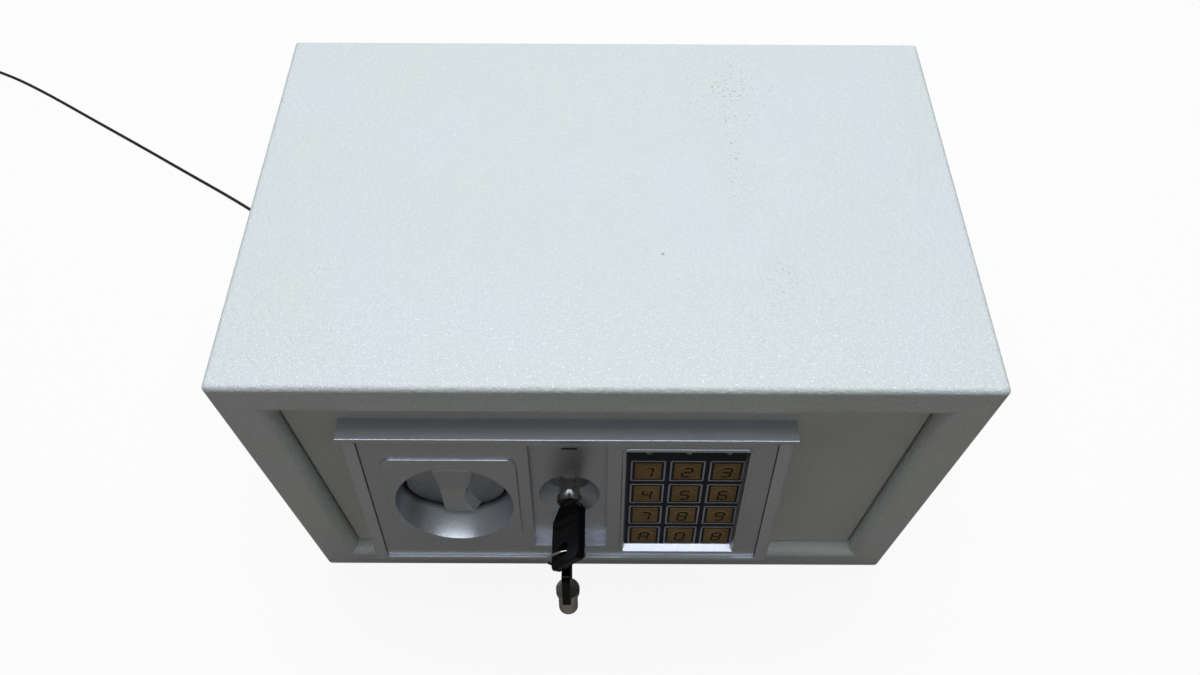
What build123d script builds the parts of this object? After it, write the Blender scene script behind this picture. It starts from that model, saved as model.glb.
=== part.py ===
"""Small electronic safe with its door panel, boltwork, keys and power lead, in millimetres.

The origin is the centre of the base. +X is to the right seen from the front, +Y goes to the back, +Z is up.
The door is shut and its bolts are drawn back, as the safe stands when it is open to be used.
"""

import os
from math import cos, hypot, pi, radians, sin, tan

from build123d import *

# Cabinet
cabinet_width = 310.0
cabinet_depth = 198.0
cabinet_height = 200.0
body_sheet = 2.0
outer_edge_radius = 2.5
front_flange_side = 19.8
front_flange_height = 20.0
return_radius = 4.5
return_depth = 8.5
anchor_hole_radius = 5.0
base_anchor_spacing = 180.0
rear_anchor_spacing = 180.0
rear_anchor_height = 130.0
mat_thickness = 2.0
mat_margin = 3.0
mat_hole_radius = 9.0

# Door and its hinge
door_recess = 7.0
door_plate_thickness = 4.0
door_gap = 1.0
hinge_edge_distance = 12.0
hinge_set_back = 8.0
pin_radius = 2.5
pin_clearance = 0.05
lug_width = 12.0
lug_thickness = 10.0
lug_height = 14.0
bracket_width = 16.0
bracket_plate = 3.0
bracket_depth = 22.0
washer_clearance = 0.3
stop_length = 80.0
stop_sheet = 2.0
stop_lap = 2.5
stop_clearance = 0.3
stop_center_x = -20.0

# Tilted control panel
panel_center_x = -16.0
panel_width = 189.0
panel_drop = 15.5
panel_height = 93.5
panel_top_depth = 9.0
panel_face_drop = 0.5
panel_tilt = 12.0
panel_wall = 2.2
panel_edge_radius = 1.2
visor_width = 192.0
visor_height = 2.8
visor_front = 3.2
faceplate_width = 176.6
faceplate_top = -3.5
faceplate_bottom = -91.3
faceplate_sink = 1.0
faceplate_thickness = 2.4
faceplate_gap = 0.3
ledge_width = 1.0
panel_boss_radius = 3.2
panel_boss_drops = (85.5, 13.5)
panel_screw_radius = 1.5
panel_screw_head_radius = 3.0
panel_screw_head = 2.0
panel_screw_grip = 8.0

# Knob, its bowl and its shaft
knob_offset_x = -51.5
knob_drop = 45.1
knob_radius = 22.1
knob_clearance = 0.3
knob_face = -3.5
knob_disc_thickness = 1.8
bowl_slope = 0.39
bowl_wall = 1.6
bowl_floor = -1.2
bowl_floor_thickness = 1.5
plateau_width = 58.7
plateau_corner = 5.0
plateau_offset_z = 1.2
grip_top_width = 16.0
grip_bottom_width = 10.8
grip_top = 20.6
grip_bottom = 21.4
grip_tilt = 13.4
grip_front_at_axis = 6.9
grip_edge_radius = 0.8
grip_bottom_corner = 4.86
hub_radius = 7.0
hub_end = 5.6
shaft_radius = 4.0
shaft_clearance = 0.05
bushing_radius = 5.5
bushing_flange_radius = 8.0
bushing_flange = 1.0
bushing_end = 13.0

# Boltwork
crank_front = 13.4
crank_thickness = 2.6
crank_radius = 9.0
crank_pin_radius = 3.0
crank_swing = 90.0
crank_slot_clearance = 0.4
carrier_front = 17.0
carrier_sheet = 2.0
carrier_edge_distance = 22.2
carrier_bar_width = 14.0
carrier_reach = 31.5
carrier_rise = 29.6
carrier_fall = 56.4
tongue_rise = 17.6
tongue_fall = 24.4
bolt_rises = (-42.4, 15.6)
bolt_radius = 7.0
bolt_clearance = 0.08
bolt_set_back = 24.5
bolt_tip_distance = 3.2
bolt_chamfer = 1.5
stud_offsets = ((-22.5, 10.6), (9.5, -11.4))
stud_radius = 2.5
stud_slot_clearance = 0.2
stud_shoulder_radius = 4.5
stud_gap = 0.2
stud_head = 1.2

# Solenoid and its plunger
plunger_offset_x = 13.5
plunger_radius = 2.5
plunger_clearance = 0.08
plunger_gap = 0.4
plunger_length = 28.0
plunger_collar_drop = 6.4
notch_clearance = 0.3
notch_depth = 4.7
plunger_collar_radius = 4.0
plunger_collar = 1.2
solenoid_width = 16.0
solenoid_height = 24.0
solenoid_drop = 12.0

# Override lock and its keys
lock_offset_x = 0.0
lock_drop = 45.5
lock_radius = 8.0
lock_hole_clearance = 0.1
lock_flange_radius = 9.2
lock_flange = 1.0
lock_floor = 0.0
lock_end = 22.0
lock_recess_width = 34.0
lock_recess_top = -6.3
lock_recess_bottom = -82.8
lock_recess_depth = 5.2
lock_recess_wall = 1.6
lock_dish_radius = 13.7
lock_dish_floor_radius = 9.7
latch_notch_width = 6.0
latch_notch_depth = 1.0
rotor_radius = 6.9
rotor_clearance = 0.08
rotor_lip = 2.0
rotor_stub_radius = 4.0
rotor_stub_end = 26.5
keyway_depth = 6.5
keyway_clearance = 0.12
nut_width = 22.0
nut_thickness = 3.5
cam_front = 22.4
cam_thickness = 2.0
cam_length = 36.0
cam_width = 9.0
cam_hub_radius = 6.3
cam_angle = 217.0
key_outer_radius = 4.6
key_inner_radius = 3.5
key_seat_gap = 0.3
key_collar_radius = 5.6
key_collar = 3.0
key_head_start = -11.5
key_head_length = 28.5
key_head_width = 24.0
key_head_thickness = 4.0
key_head_shoulder = 6.0
key_head_corner = 2.5
key_tang = 9.0
key_turned = 30.0
ring_hole_width = 5.6
ring_hole_length = 8.0
ring_hole_place = 21.5
ring_hole_drop = 0.9
ring_seat_gap = 0.55
ring_radius = 8.6
ring_wire_radius = 0.6
ring_yaw = 10.0
spare_tilt = 12.0

# Keypad
keypad_offset_x = 51.0
keypad_width = 50.6
keypad_top = -9.5
keypad_bottom = -84.5
keypad_rim_side = 2.6
keypad_rim_top = 2.0
keypad_rim_bottom = 3.5
keypad_rim_corner = 3.0
keypad_rim_height = 0.8
keypad_rim_edge = 0.72
keypad_flare_side = 1.0
keypad_flare_top = 0.7
keypad_flare_bottom = 1.7
keypad_margin = 2.0
keypad_plate_thickness = 0.8
button_columns = 3
button_names = ("1", "2", "3", "4", "5", "6", "7", "8", "9", "a", "0", "b")
button_pitch_x = 17.15
button_pitch_y = 16.88
button_offset_x = 51.85
button_first_y = -26.3
button_width = 11.6
button_height = 11.0
button_gap = 0.15
button_proud = 0.3
button_flange = 0.7
button_flange_thickness = 0.4
button_flange_gap = 0.05
button_travel = 0.4
mat_rim = 2.0
mat_gap = 0.05
contact_mat_thickness = 1.0
board_thickness = 1.6
lens_radius = 1.5
lens_height = 0.5
lens_edge = 0.3
lens_y = -12.6

# Inner cover of the door, battery box and reset button
cover_edge_distance = 6.2
cover_hinge_distance = 14.2
cover_height_margin = 6.0
cover_end = 41.0
cover_sheet = 1.2
cover_edge_radius = 3.0
cover_screw_inset = 8.0
cover_screw_radius = 1.5
cover_screw_head_radius = 3.0
cover_screw_head = 1.6
cover_post_radius = 3.5
cover_post_thread = 10.0
cover_hole_clearance = 0.2
battery_radius = 7.1
battery_length = 49.2
battery_terminal = 1.2
battery_terminal_radius = 2.7
battery_count = 4
battery_pitch = 14.6
battery_edge_distance = 48.0
battery_rise = 51.0
battery_box_wall = 1.5
battery_box_flange = 4.0
battery_box_flange_thickness = 1.0
battery_clearance = 0.3
battery_cover_margin = 2.0
battery_cover_thickness = 1.8
battery_cover_gap = 0.2
battery_rail_lip = 1.0
battery_rail_thickness = 1.2
battery_grip_width = 14.0
battery_grip_depth = 0.8
reset_edge_distance = 10.0
reset_rise = 113.0
reset_radius = 3.4
reset_clearance = 0.15
reset_proud = 2.0
reset_flange_radius = 4.6
reset_flange = 0.8
reset_flange_gap = 0.05
reset_travel = 1.5
reset_switch_size = 9.0
reset_switch_height = 6.0

# Power lead
lead_radius = 1.1
lead_bend_share = 0.45
grommet_edge_distance = 35.0
grommet_z = 22.0
grommet_hole_radius = 4.0
grommet_flange_radius = 6.0
grommet_flange = 1.2
grommet_tail = 7.0
grommet_tail_radius = 2.2
plug_radius = 3.7
plug_length = 16.0
plug_relief_length = 9.0
plug_relief_radius = 2.0
plug_relief_start = 1.3
plug_barrel_radius = 2.75
plug_barrel_length = 9.5
plug_bore_radius = 1.25
plug_edge = 0.8
coil_outer_radius = 14.85
coil_half_turns_in = 4
coil_half_turns_out = 3
coil_pitch = 2.75
coil_layer_rise = 2.7
coil_samples = 1200
lead_route = (
    (-120.0, 107.2, 22.0),
    (-120.0, 115.5, 22.0),
    (-121.5, 124.5, 18.8),
    (-126.5, 132.0, 12.6),
    (-135.5, 137.0, 6.2),
    (-147.5, 139.6, 2.4),
    (-162.0, 140.0, 1.1),
    (-180.0, 139.2, 1.1),
    (-202.0, 139.8, 1.1),
    (-224.0, 144.5, 1.1),
    (-246.0, 155.6, 1.1),
    (-270.0, 172.2, 1.1),
    (-306.0, 195.0, 1.1),
    (-350.0, 223.3, 1.1),
    (-396.0, 252.2, 1.1),
    (-434.0, 276.4, 1.1),
    (-466.0, 295.2, 1.1),
    (-487.0, 305.0, 1.1),
    (-500.0, 310.9, 1.1),
)

# How near two places count as the same when faces and edges are picked
same_place = 0.01

# Places that follow from the sizes above
front_y = -cabinet_depth / 2
rear_y = cabinet_depth / 2
opening_width = cabinet_width - 2 * front_flange_side
opening_height = cabinet_height - 2 * front_flange_height
opening_bottom = front_flange_height
opening_top = opening_bottom + opening_height
door_width = opening_width - 2 * door_gap
door_bottom = opening_bottom + door_gap
door_top = opening_top - door_gap
door_back = door_recess + door_plate_thickness
hinge_x = door_width / 2 - hinge_edge_distance
hinge_y = front_y + door_recess + hinge_set_back
panel_top_z = door_top - panel_drop
panel_bottom_z = panel_top_z - panel_height
knob_x = panel_center_x + knob_offset_x
knob_z = panel_top_z - knob_drop
lock_x = panel_center_x + lock_offset_x
lock_z = panel_top_z - lock_drop
cover_left = -door_width / 2 + cover_edge_distance
cover_right = hinge_x - cover_hinge_distance
cover_bottom = door_bottom + cover_height_margin
cover_top = door_top - cover_height_margin
carrier_left = -door_width / 2 + carrier_edge_distance
carrier_right = knob_x + carrier_reach
carrier_top = knob_z + carrier_rise
carrier_bottom = knob_z - carrier_fall
tongue_top = knob_z + tongue_rise
tongue_bottom = knob_z - tongue_fall
bolt_tip_x = -door_width / 2 + bolt_tip_distance
bolt_heights = [knob_z + rise for rise in bolt_rises]
stud_places = [(knob_x + across, knob_z + rise) for across, rise in stud_offsets]
plunger_x = knob_x + plunger_offset_x
battery_center_x = cover_right - battery_edge_distance
battery_center_z = cover_bottom + battery_rise
reset_x = cover_right - reset_edge_distance
reset_z = cover_bottom + reset_rise
grommet_x = -cabinet_width / 2 + grommet_edge_distance
bolt_throw = 2 * crank_radius * sin(radians(crank_swing / 2))
tilt_cos = cos(radians(panel_tilt))
tilt_sin = sin(radians(panel_tilt))
tilt_tan = tan(radians(panel_tilt))
face_top_z = panel_top_z - panel_face_drop
face_top_inset = door_recess - panel_top_depth


def depth_plane(inset):
    """A plane parallel to the front, this far behind it, that looks out of the front."""
    return Plane.XZ.offset(-(front_y + inset))


def face_plane(depth):
    """The panel's tilted face, this deep under its surface, with y along the slope from the top edge."""
    top = Plane(
        origin=(panel_center_x, front_y + face_top_inset, face_top_z),
        x_dir=(1, 0, 0),
        z_dir=(0, -tilt_cos, tilt_sin),
    )
    return top.offset(-depth)


def face_inset(z):
    """How far behind the cabinet's front the panel's tilted face lies at this height."""
    return face_top_inset - (face_top_z - z) * tilt_tan


def save(name, builder):
    """Labels a finished piece and writes its file."""
    builder.part.label = name
    export_step(builder.part, f"parts/{name}.step")


def round_at(x, z, radius, inset):
    """A round face that looks out of the front, this far behind it."""
    with BuildSketch(depth_plane(inset)) as face:
        with Locations((x, z)):
            Circle(radius)
    return face.sketch


def cone_section(x, z, floor, slope, start_radius, reach):
    """Half the section of a cone about an axis along Y, from its floor out of the front."""
    with BuildSketch(Plane.XY.offset(z)) as face:
        with BuildLine():
            Polyline(
                (x, front_y + floor),
                (x + start_radius, front_y + floor),
                (x + start_radius + slope * reach, front_y + floor - reach),
                (x, front_y + floor - reach),
                close=True,
            )
        make_face()
    return face.sketch


def arc_middle(start, end, tangent):
    """The point halfway along the arc that leaves the start in this direction and reaches the end."""
    chord = end - start
    half_turn = radians(tangent.get_angle(chord))
    outwards = (tangent - chord * (tangent.dot(chord) / chord.dot(chord))).normalized()
    return start + chord / 2 + outwards * (chord.length / 2 * tan(half_turn / 2))


os.makedirs("parts", exist_ok=True)

# Cabinet shell: four walls and a front flange whose opening rolls inwards
with BuildPart() as cabinet_shell:
    Box(cabinet_width, cabinet_depth, cabinet_height, align=(Align.CENTER, Align.CENTER, Align.MIN))
    rear_edges = cabinet_shell.edges().group_by(Axis.Y)[-1]
    fillet(cabinet_shell.edges() - rear_edges, radius=outer_edge_radius)
    with BuildSketch(depth_plane(body_sheet)):
        with Locations((0, cabinet_height / 2)):
            Rectangle(cabinet_width - 2 * body_sheet, cabinet_height - 2 * body_sheet)
    extrude(amount=-cabinet_depth, mode=Mode.SUBTRACT)
    with BuildSketch(depth_plane(body_sheet / 2)):
        with Locations((0, cabinet_height / 2)):
            Rectangle(opening_width + 2 * body_sheet, opening_height + 2 * body_sheet)
    extrude(amount=-(return_depth - body_sheet / 2))
    inner_bend = cabinet_shell.edges().filter_by(
        lambda edge: abs(edge.center().Y - (front_y + body_sheet)) < same_place
        and edge.bounding_box().size.length < cabinet_width - 4 * body_sheet
    )
    fillet(inner_bend, radius=return_radius - body_sheet)
    with BuildSketch(depth_plane(0)):
        with Locations((0, cabinet_height / 2)):
            Rectangle(opening_width, opening_height)
    extrude(amount=-(return_depth + body_sheet), mode=Mode.SUBTRACT)
    outer_bend = cabinet_shell.edges().filter_by(
        lambda edge: abs(edge.center().Y - front_y) < same_place
        and edge.bounding_box().size.length < opening_width + 1
        and abs(edge.center().X) < opening_width / 2 + 1
        and abs(edge.center().Z - cabinet_height / 2) < opening_height / 2 + 1
    )
    fillet(outer_bend, radius=return_radius)
    with BuildSketch(Plane.XY):
        with GridLocations(base_anchor_spacing, 0, 2, 1):
            Circle(anchor_hole_radius)
    extrude(amount=body_sheet, mode=Mode.SUBTRACT)
save("cabinet_shell", cabinet_shell)

# Rear panel, welded inside the rear end of the shell
with BuildPart() as rear_panel:
    with BuildSketch(Plane.XZ.offset(-rear_y)):
        with Locations((0, cabinet_height / 2)):
            Rectangle(cabinet_width - 2 * body_sheet, cabinet_height - 2 * body_sheet)
        with Locations((0, rear_anchor_height)):
            with GridLocations(rear_anchor_spacing, 0, 2, 1):
                Circle(anchor_hole_radius, mode=Mode.SUBTRACT)
        with Locations((grommet_x, grommet_z)):
            Circle(grommet_hole_radius, mode=Mode.SUBTRACT)
    extrude(amount=body_sheet)
save("rear_panel", rear_panel)

# Floor mat, cut clear of the anchor bolts
mat_front_y = front_y + bracket_depth + mat_margin
mat_back_y = rear_y - body_sheet - mat_margin
with BuildPart() as floor_mat:
    with BuildSketch(Plane.XY.offset(body_sheet)):
        with Locations((0, (mat_front_y + mat_back_y) / 2)):
            mat_width = cabinet_width - 2 * (body_sheet + mat_margin)
            RectangleRounded(mat_width, mat_back_y - mat_front_y, mat_margin)
        with GridLocations(base_anchor_spacing, 0, 2, 1):
            Circle(mat_hole_radius, mode=Mode.SUBTRACT)
    extrude(amount=mat_thickness)
save("floor_mat", floor_mat)

# Hinge brackets behind the front flange, above and below the door, each with its pin
pin_top_start = opening_top + body_sheet
pin_bottom_start = opening_bottom - body_sheet
bracket_bend = return_radius - body_sheet / 2
with BuildPart() as hinge_brackets:
    for plate_z, corner_z, wall_z in (
        (pin_top_start, pin_top_start, cabinet_height - body_sheet),
        (pin_bottom_start - bracket_plate, pin_bottom_start, body_sheet),
    ):
        leg_low = min(plate_z, wall_z)
        leg_high = max(plate_z + bracket_plate, wall_z)
        with BuildSketch(Plane.XY.offset(plate_z)):
            with Locations((hinge_x, front_y + body_sheet + (bracket_depth - body_sheet) / 2)):
                Rectangle(bracket_width, bracket_depth - body_sheet)
            with Locations((hinge_x, hinge_y)):
                Circle(pin_radius, mode=Mode.SUBTRACT)
        extrude(amount=bracket_plate)
        with BuildSketch(depth_plane(body_sheet)):
            with Locations((hinge_x, (leg_low + leg_high) / 2)):
                Rectangle(bracket_width, leg_high - leg_low)
        extrude(amount=-bracket_plate)
        corner = (hinge_x, front_y + body_sheet, corner_z)
        fillet(hinge_brackets.edges().filter_by(Axis.X).sort_by_distance(corner)[0], radius=bracket_bend)
save("hinge_brackets", hinge_brackets)

# Hinge pins, pressed into the brackets
lug_top_start = door_top - lug_height
lug_bottom_end = door_bottom + lug_height
with BuildPart() as hinge_pins:
    for pin_start, pin_end in (
        (pin_bottom_start - bracket_plate, lug_bottom_end),
        (lug_top_start, pin_top_start + bracket_plate),
    ):
        with BuildSketch(Plane.XY.offset(pin_start)):
            with Locations((hinge_x, hinge_y)):
                Circle(pin_radius)
        extrude(amount=pin_end - pin_start)
    pin_rims = hinge_pins.edges().filter_by(GeomType.CIRCLE).group_by(Axis.Z)
    chamfer(pin_rims[1] + pin_rims[2], length=pin_radius / 5)
save("hinge_pins", hinge_pins)

# Washer that the door turns on
with BuildPart() as hinge_washer:
    with BuildSketch(Plane.XY.offset(pin_bottom_start)):
        with Locations((hinge_x, hinge_y)):
            Circle(lug_thickness / 2)
            Circle(pin_radius, mode=Mode.SUBTRACT)
    extrude(amount=door_bottom - washer_clearance - pin_bottom_start)
save("hinge_washer", hinge_washer)

# Door stops, one strip behind the top edge of the door and one behind the bottom edge
stop_y = front_y + door_back + stop_clearance
with BuildPart() as door_stops:
    for strip_low, strip_high in (
        (body_sheet, door_bottom + stop_lap),
        (door_top - stop_lap, cabinet_height - body_sheet),
    ):
        with BuildSketch(Plane.XZ.offset(-stop_y)):
            with Locations((stop_center_x, (strip_low + strip_high) / 2)):
                Rectangle(stop_length, strip_high - strip_low)
        extrude(amount=-stop_sheet)
save("door_stops", door_stops)

# Door plate
boss_x = (panel_center_x - faceplate_width / 2, panel_center_x + faceplate_width / 2)
boss_z = [panel_top_z - drop for drop in panel_boss_drops]
panel_screw_places = [(x, z) for x in boss_x for z in boss_z]
cover_screw_places = [
    (x, z)
    for x in (cover_left + cover_screw_inset, cover_right - cover_screw_inset)
    for z in (cover_bottom + cover_screw_inset, cover_top - cover_screw_inset)
]
with BuildPart() as door_plate:
    with BuildSketch(depth_plane(door_recess)):
        with Locations((0, (door_bottom + door_top) / 2)):
            RectangleRounded(door_width, door_top - door_bottom, door_gap)
        with Locations((knob_x, knob_z)):
            Circle(bushing_radius, mode=Mode.SUBTRACT)
        with Locations((lock_x, lock_z)):
            Circle(lock_radius + lock_hole_clearance, mode=Mode.SUBTRACT)
        with Locations(*panel_screw_places):
            Circle(panel_screw_radius, mode=Mode.SUBTRACT)
        with Locations(*stud_places):
            Circle(stud_radius, mode=Mode.SUBTRACT)
    extrude(amount=-door_plate_thickness)
    chamfer(door_plate.faces().sort_by(Axis.Y)[0].outer_wire().edges(), length=door_gap / 2)
save("door_plate", door_plate)

# Hinge lugs welded behind the door plate
with BuildPart() as hinge_lugs:
    for lug_low in (door_bottom, lug_top_start):
        with BuildSketch(Plane.XY.offset(lug_low)):
            with Locations((hinge_x, front_y + door_back + lug_thickness / 2)):
                RectangleRounded(lug_width, lug_thickness, lug_thickness / 5)
            with Locations((hinge_x, front_y + door_back + lug_thickness / 4)):
                Rectangle(lug_width, lug_thickness / 2)
            with Locations((hinge_x, hinge_y)):
                Circle(pin_radius + pin_clearance, mode=Mode.SUBTRACT)
        extrude(amount=lug_height)
save("hinge_lugs", hinge_lugs)

# Panel housing: a moulded wedge, thin at the top and thick at the bottom, under a visor
panel_back_y = front_y + door_recess
panel_left = panel_center_x - panel_width / 2
ledge_depth = faceplate_sink + faceplate_thickness
screw_reach = door_back - panel_screw_grip
with BuildPart() as panel_housing:
    with BuildSketch(Plane.YZ.offset(panel_left)):
        with BuildLine():
            Polyline(
                (panel_back_y, panel_top_z),
                (front_y + face_inset(panel_top_z), panel_top_z),
                (front_y + face_inset(panel_bottom_z), panel_bottom_z),
                (panel_back_y, panel_bottom_z),
                close=True,
            )
        make_face()
    extrude(amount=panel_width)
    fillet(panel_housing.faces().sort_by(Axis.Y)[0].edges(), radius=panel_edge_radius)
    with BuildSketch(Plane.XY.offset(panel_top_z - visor_height)):
        with Locations((panel_center_x, (panel_back_y + front_y - visor_front) / 2)):
            Rectangle(visor_width, panel_back_y - front_y + visor_front)
    extrude(amount=visor_height)
    visor_edges = panel_housing.edges().filter_by(
        lambda edge: abs(edge.center().Y - (front_y - visor_front)) < same_place
    )
    fillet(visor_edges, radius=panel_edge_radius / 2)
    inner_face_inset = face_inset(panel_top_z - panel_wall) + (ledge_depth + panel_wall) / tilt_cos
    with BuildSketch(Plane.YZ.offset(panel_left + panel_wall)):
        with BuildLine():
            inner_low = panel_bottom_z + panel_wall
            inner_high = panel_top_z - panel_wall
            Polyline(
                (panel_back_y, inner_high),
                (front_y + inner_face_inset, inner_high),
                (front_y + inner_face_inset - (inner_high - inner_low) * tilt_tan, inner_low),
                (panel_back_y, inner_low),
                close=True,
            )
        make_face()
    extrude(amount=panel_width - 2 * panel_wall, mode=Mode.SUBTRACT)
    faceplate_center_y = (faceplate_top + faceplate_bottom) / 2
    faceplate_height = faceplate_top - faceplate_bottom
    with BuildSketch(face_plane(0)):
        with Locations((0, faceplate_center_y)):
            Rectangle(faceplate_width + 2 * faceplate_gap, faceplate_height + 2 * faceplate_gap)
    extrude(amount=-ledge_depth, mode=Mode.SUBTRACT)
    with BuildSketch(face_plane(ledge_depth)):
        with Locations((0, faceplate_center_y)):
            Rectangle(faceplate_width - 2 * ledge_width, faceplate_height - 2 * ledge_width)
    extrude(amount=-panel_wall, mode=Mode.SUBTRACT)
    for boss_place_x, boss_place_z in panel_screw_places:
        boss_start = face_inset(boss_place_z) + (ledge_depth + panel_wall / 2) / tilt_cos
        boss_face = round_at(boss_place_x, boss_place_z, panel_boss_radius, boss_start)
        extrude(boss_face, amount=boss_start - door_recess)
        screw_face = round_at(boss_place_x, boss_place_z, panel_screw_radius, screw_reach)
        extrude(screw_face, amount=screw_reach - door_recess, mode=Mode.SUBTRACT)
save("panel_housing", panel_housing)

# Screws that hold the panel, put in from behind the door plate
with BuildPart() as panel_screws:
    for boss_place_x, boss_place_z in panel_screw_places:
        shank_face = round_at(boss_place_x, boss_place_z, panel_screw_radius, screw_reach)
        extrude(shank_face, amount=-panel_screw_grip)
        head_face = round_at(boss_place_x, boss_place_z, panel_screw_head_radius, door_back)
        extrude(head_face, amount=-panel_screw_head)
save("panel_screws", panel_screws)

# Faceplate: the knob's bowl, the lock's recess and the rimmed keypad window in one moulding
knob_slope_y = (knob_z + plateau_offset_z - face_top_z) / tilt_cos
bowl_inner_radius = knob_radius + knob_clearance
bowl_reach = -face_inset(knob_z) + knob_radius
keypad_center_y = (keypad_top + keypad_bottom) / 2
keypad_height = keypad_top - keypad_bottom
keypad_center_x = panel_center_x + keypad_offset_x
lock_recess_height = lock_recess_top - lock_recess_bottom
lock_recess_center_y = (lock_recess_top + lock_recess_bottom) / 2
lock_recess_inset = face_inset(lock_z) + lock_recess_depth / tilt_cos
dish_slope = (lock_dish_radius - lock_dish_floor_radius) / (lock_floor - lock_recess_inset)
dish_rise = (lock_dish_radius + lock_recess_wall) * tilt_tan
dish_reach = lock_floor + lock_recess_wall - lock_recess_inset + dish_rise
knob_axis = Axis((knob_x, 0, knob_z), (0, 1, 0))
lock_axis = Axis((lock_x, 0, lock_z), (0, 1, 0))
with BuildPart() as panel_faceplate:
    with BuildSketch(face_plane(ledge_depth)):
        with Locations((0, faceplate_center_y)):
            Rectangle(faceplate_width, faceplate_height)
    extrude(amount=faceplate_thickness)
    with BuildSketch(face_plane(ledge_depth)):
        with Locations((knob_offset_x, knob_slope_y)):
            RectangleRounded(plateau_width, plateau_width, plateau_corner)
    extrude(amount=ledge_depth)
    plateau_edges = panel_faceplate.faces().sort_by(Axis((0, 0, 0), (0, -tilt_cos, tilt_sin)))[-1].edges()
    fillet(plateau_edges, radius=faceplate_sink / 2)
    bowl_back = bowl_floor + bowl_floor_thickness
    bowl_outside = (bowl_back, bowl_slope, bowl_inner_radius + bowl_wall, bowl_reach)
    revolve(cone_section(knob_x, knob_z, *bowl_outside), axis=knob_axis)
    dish_outside = (lock_floor + lock_recess_wall, dish_slope, lock_dish_floor_radius, dish_reach)
    revolve(cone_section(lock_x, lock_z, *dish_outside), axis=lock_axis)
    with BuildSketch(face_plane(lock_recess_depth + lock_recess_wall)):
        with Locations((lock_offset_x, lock_recess_center_y)):
            Rectangle(lock_recess_width + 2 * lock_recess_wall, lock_recess_height + 2 * lock_recess_wall)
    extrude(amount=lock_recess_depth + lock_recess_wall - faceplate_sink)
    with BuildSketch(face_plane(faceplate_sink)):
        rim_center_y = keypad_center_y + (keypad_rim_top - keypad_rim_bottom) / 2
        with Locations((keypad_offset_x, rim_center_y)):
            rim_width = keypad_width + 2 * keypad_rim_side
            rim_height = keypad_height + keypad_rim_top + keypad_rim_bottom
            RectangleRounded(rim_width, rim_height, keypad_rim_corner)
    extrude(amount=keypad_rim_height)
    rim_face = panel_faceplate.faces().filter_by(
        lambda face: abs(face.center().X - keypad_center_x) < same_place
    ).sort_by(Axis((0, 0, 0), (0, -tilt_cos, tilt_sin)))[-1]
    fillet(rim_face.edges(), radius=keypad_rim_edge)
    split(bisect_by=face_plane(0), keep=Keep.BOTTOM)
    bowl_inside = (bowl_floor, bowl_slope, bowl_inner_radius, bowl_reach)
    revolve(cone_section(knob_x, knob_z, *bowl_inside), axis=knob_axis, mode=Mode.SUBTRACT)
    with BuildSketch(face_plane(lock_recess_depth)):
        with Locations((lock_offset_x, lock_recess_center_y)):
            Rectangle(lock_recess_width, lock_recess_height)
    extrude(amount=lock_recess_depth, mode=Mode.SUBTRACT)
    with BuildSketch(face_plane(ledge_depth)):
        with Locations((lock_offset_x, lock_recess_top)):
            Rectangle(latch_notch_width, 2 * latch_notch_depth)
    extrude(amount=faceplate_thickness / 2, mode=Mode.SUBTRACT)
    dish_inside = (lock_floor, dish_slope, lock_dish_floor_radius, dish_reach)
    revolve(cone_section(lock_x, lock_z, *dish_inside), axis=lock_axis, mode=Mode.SUBTRACT)
    hub_hole = round_at(knob_x, knob_z, hub_radius + knob_clearance, bowl_back)
    extrude(hub_hole, amount=2 * bowl_floor_thickness, mode=Mode.SUBTRACT)
    lock_hole = round_at(lock_x, lock_z, lock_radius + lock_hole_clearance, lock_floor + lock_recess_wall)
    extrude(lock_hole, amount=2 * lock_recess_wall, mode=Mode.SUBTRACT)
    with BuildSketch(face_plane(ledge_depth)):
        with Locations((keypad_offset_x, keypad_center_y)):
            Rectangle(keypad_width, keypad_height)
    with BuildSketch(face_plane(0)):
        flare_center_y = keypad_center_y + (keypad_flare_top - keypad_flare_bottom) / 2
        with Locations((keypad_offset_x, flare_center_y)):
            flare_height = keypad_height + keypad_flare_top + keypad_flare_bottom
            Rectangle(keypad_width + 2 * keypad_flare_side, flare_height)
    loft(mode=Mode.SUBTRACT)
save("panel_faceplate", panel_faceplate)

# Keypad: a black plate behind the window, its contact mat and the control board
keypad_margin_width = keypad_width + 2 * keypad_margin
keypad_margin_height = keypad_height + 2 * keypad_margin
button_rows = len(button_names) // button_columns
button_left = button_offset_x - button_pitch_x * (button_columns - 1) / 2
button_places = [
    (button_left + button_pitch_x * column, button_first_y - button_pitch_y * row)
    for row in range(button_rows)
    for column in range(button_columns)
]
lens_places = [(x, lens_y) for x, _ in button_places[:button_columns]]
plate_back = ledge_depth + keypad_plate_thickness
with BuildPart() as keypad_plate:
    with BuildSketch(face_plane(ledge_depth)):
        with Locations((keypad_offset_x, keypad_center_y)):
            Rectangle(keypad_margin_width, keypad_margin_height)
        with Locations(*button_places):
            Rectangle(button_width + 2 * button_gap, button_height + 2 * button_gap, mode=Mode.SUBTRACT)
        with Locations(*lens_places):
            Circle(lens_radius, mode=Mode.SUBTRACT)
    extrude(amount=-keypad_plate_thickness)
save("keypad_plate", keypad_plate)

with BuildPart() as indicator_lenses:
    with BuildSketch(face_plane(plate_back)):
        with Locations(*lens_places):
            Circle(lens_radius)
    extrude(amount=keypad_plate_thickness + lens_height)
    lens_front = face_plane(ledge_depth - lens_height)
    lens_faces = indicator_lenses.faces().filter_by(
        lambda face: abs(lens_front.to_local_coords(face.center()).Z) < same_place
    )
    chamfer(lens_faces.edges(), length=lens_edge)
save("indicator_lenses", indicator_lenses)

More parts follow.
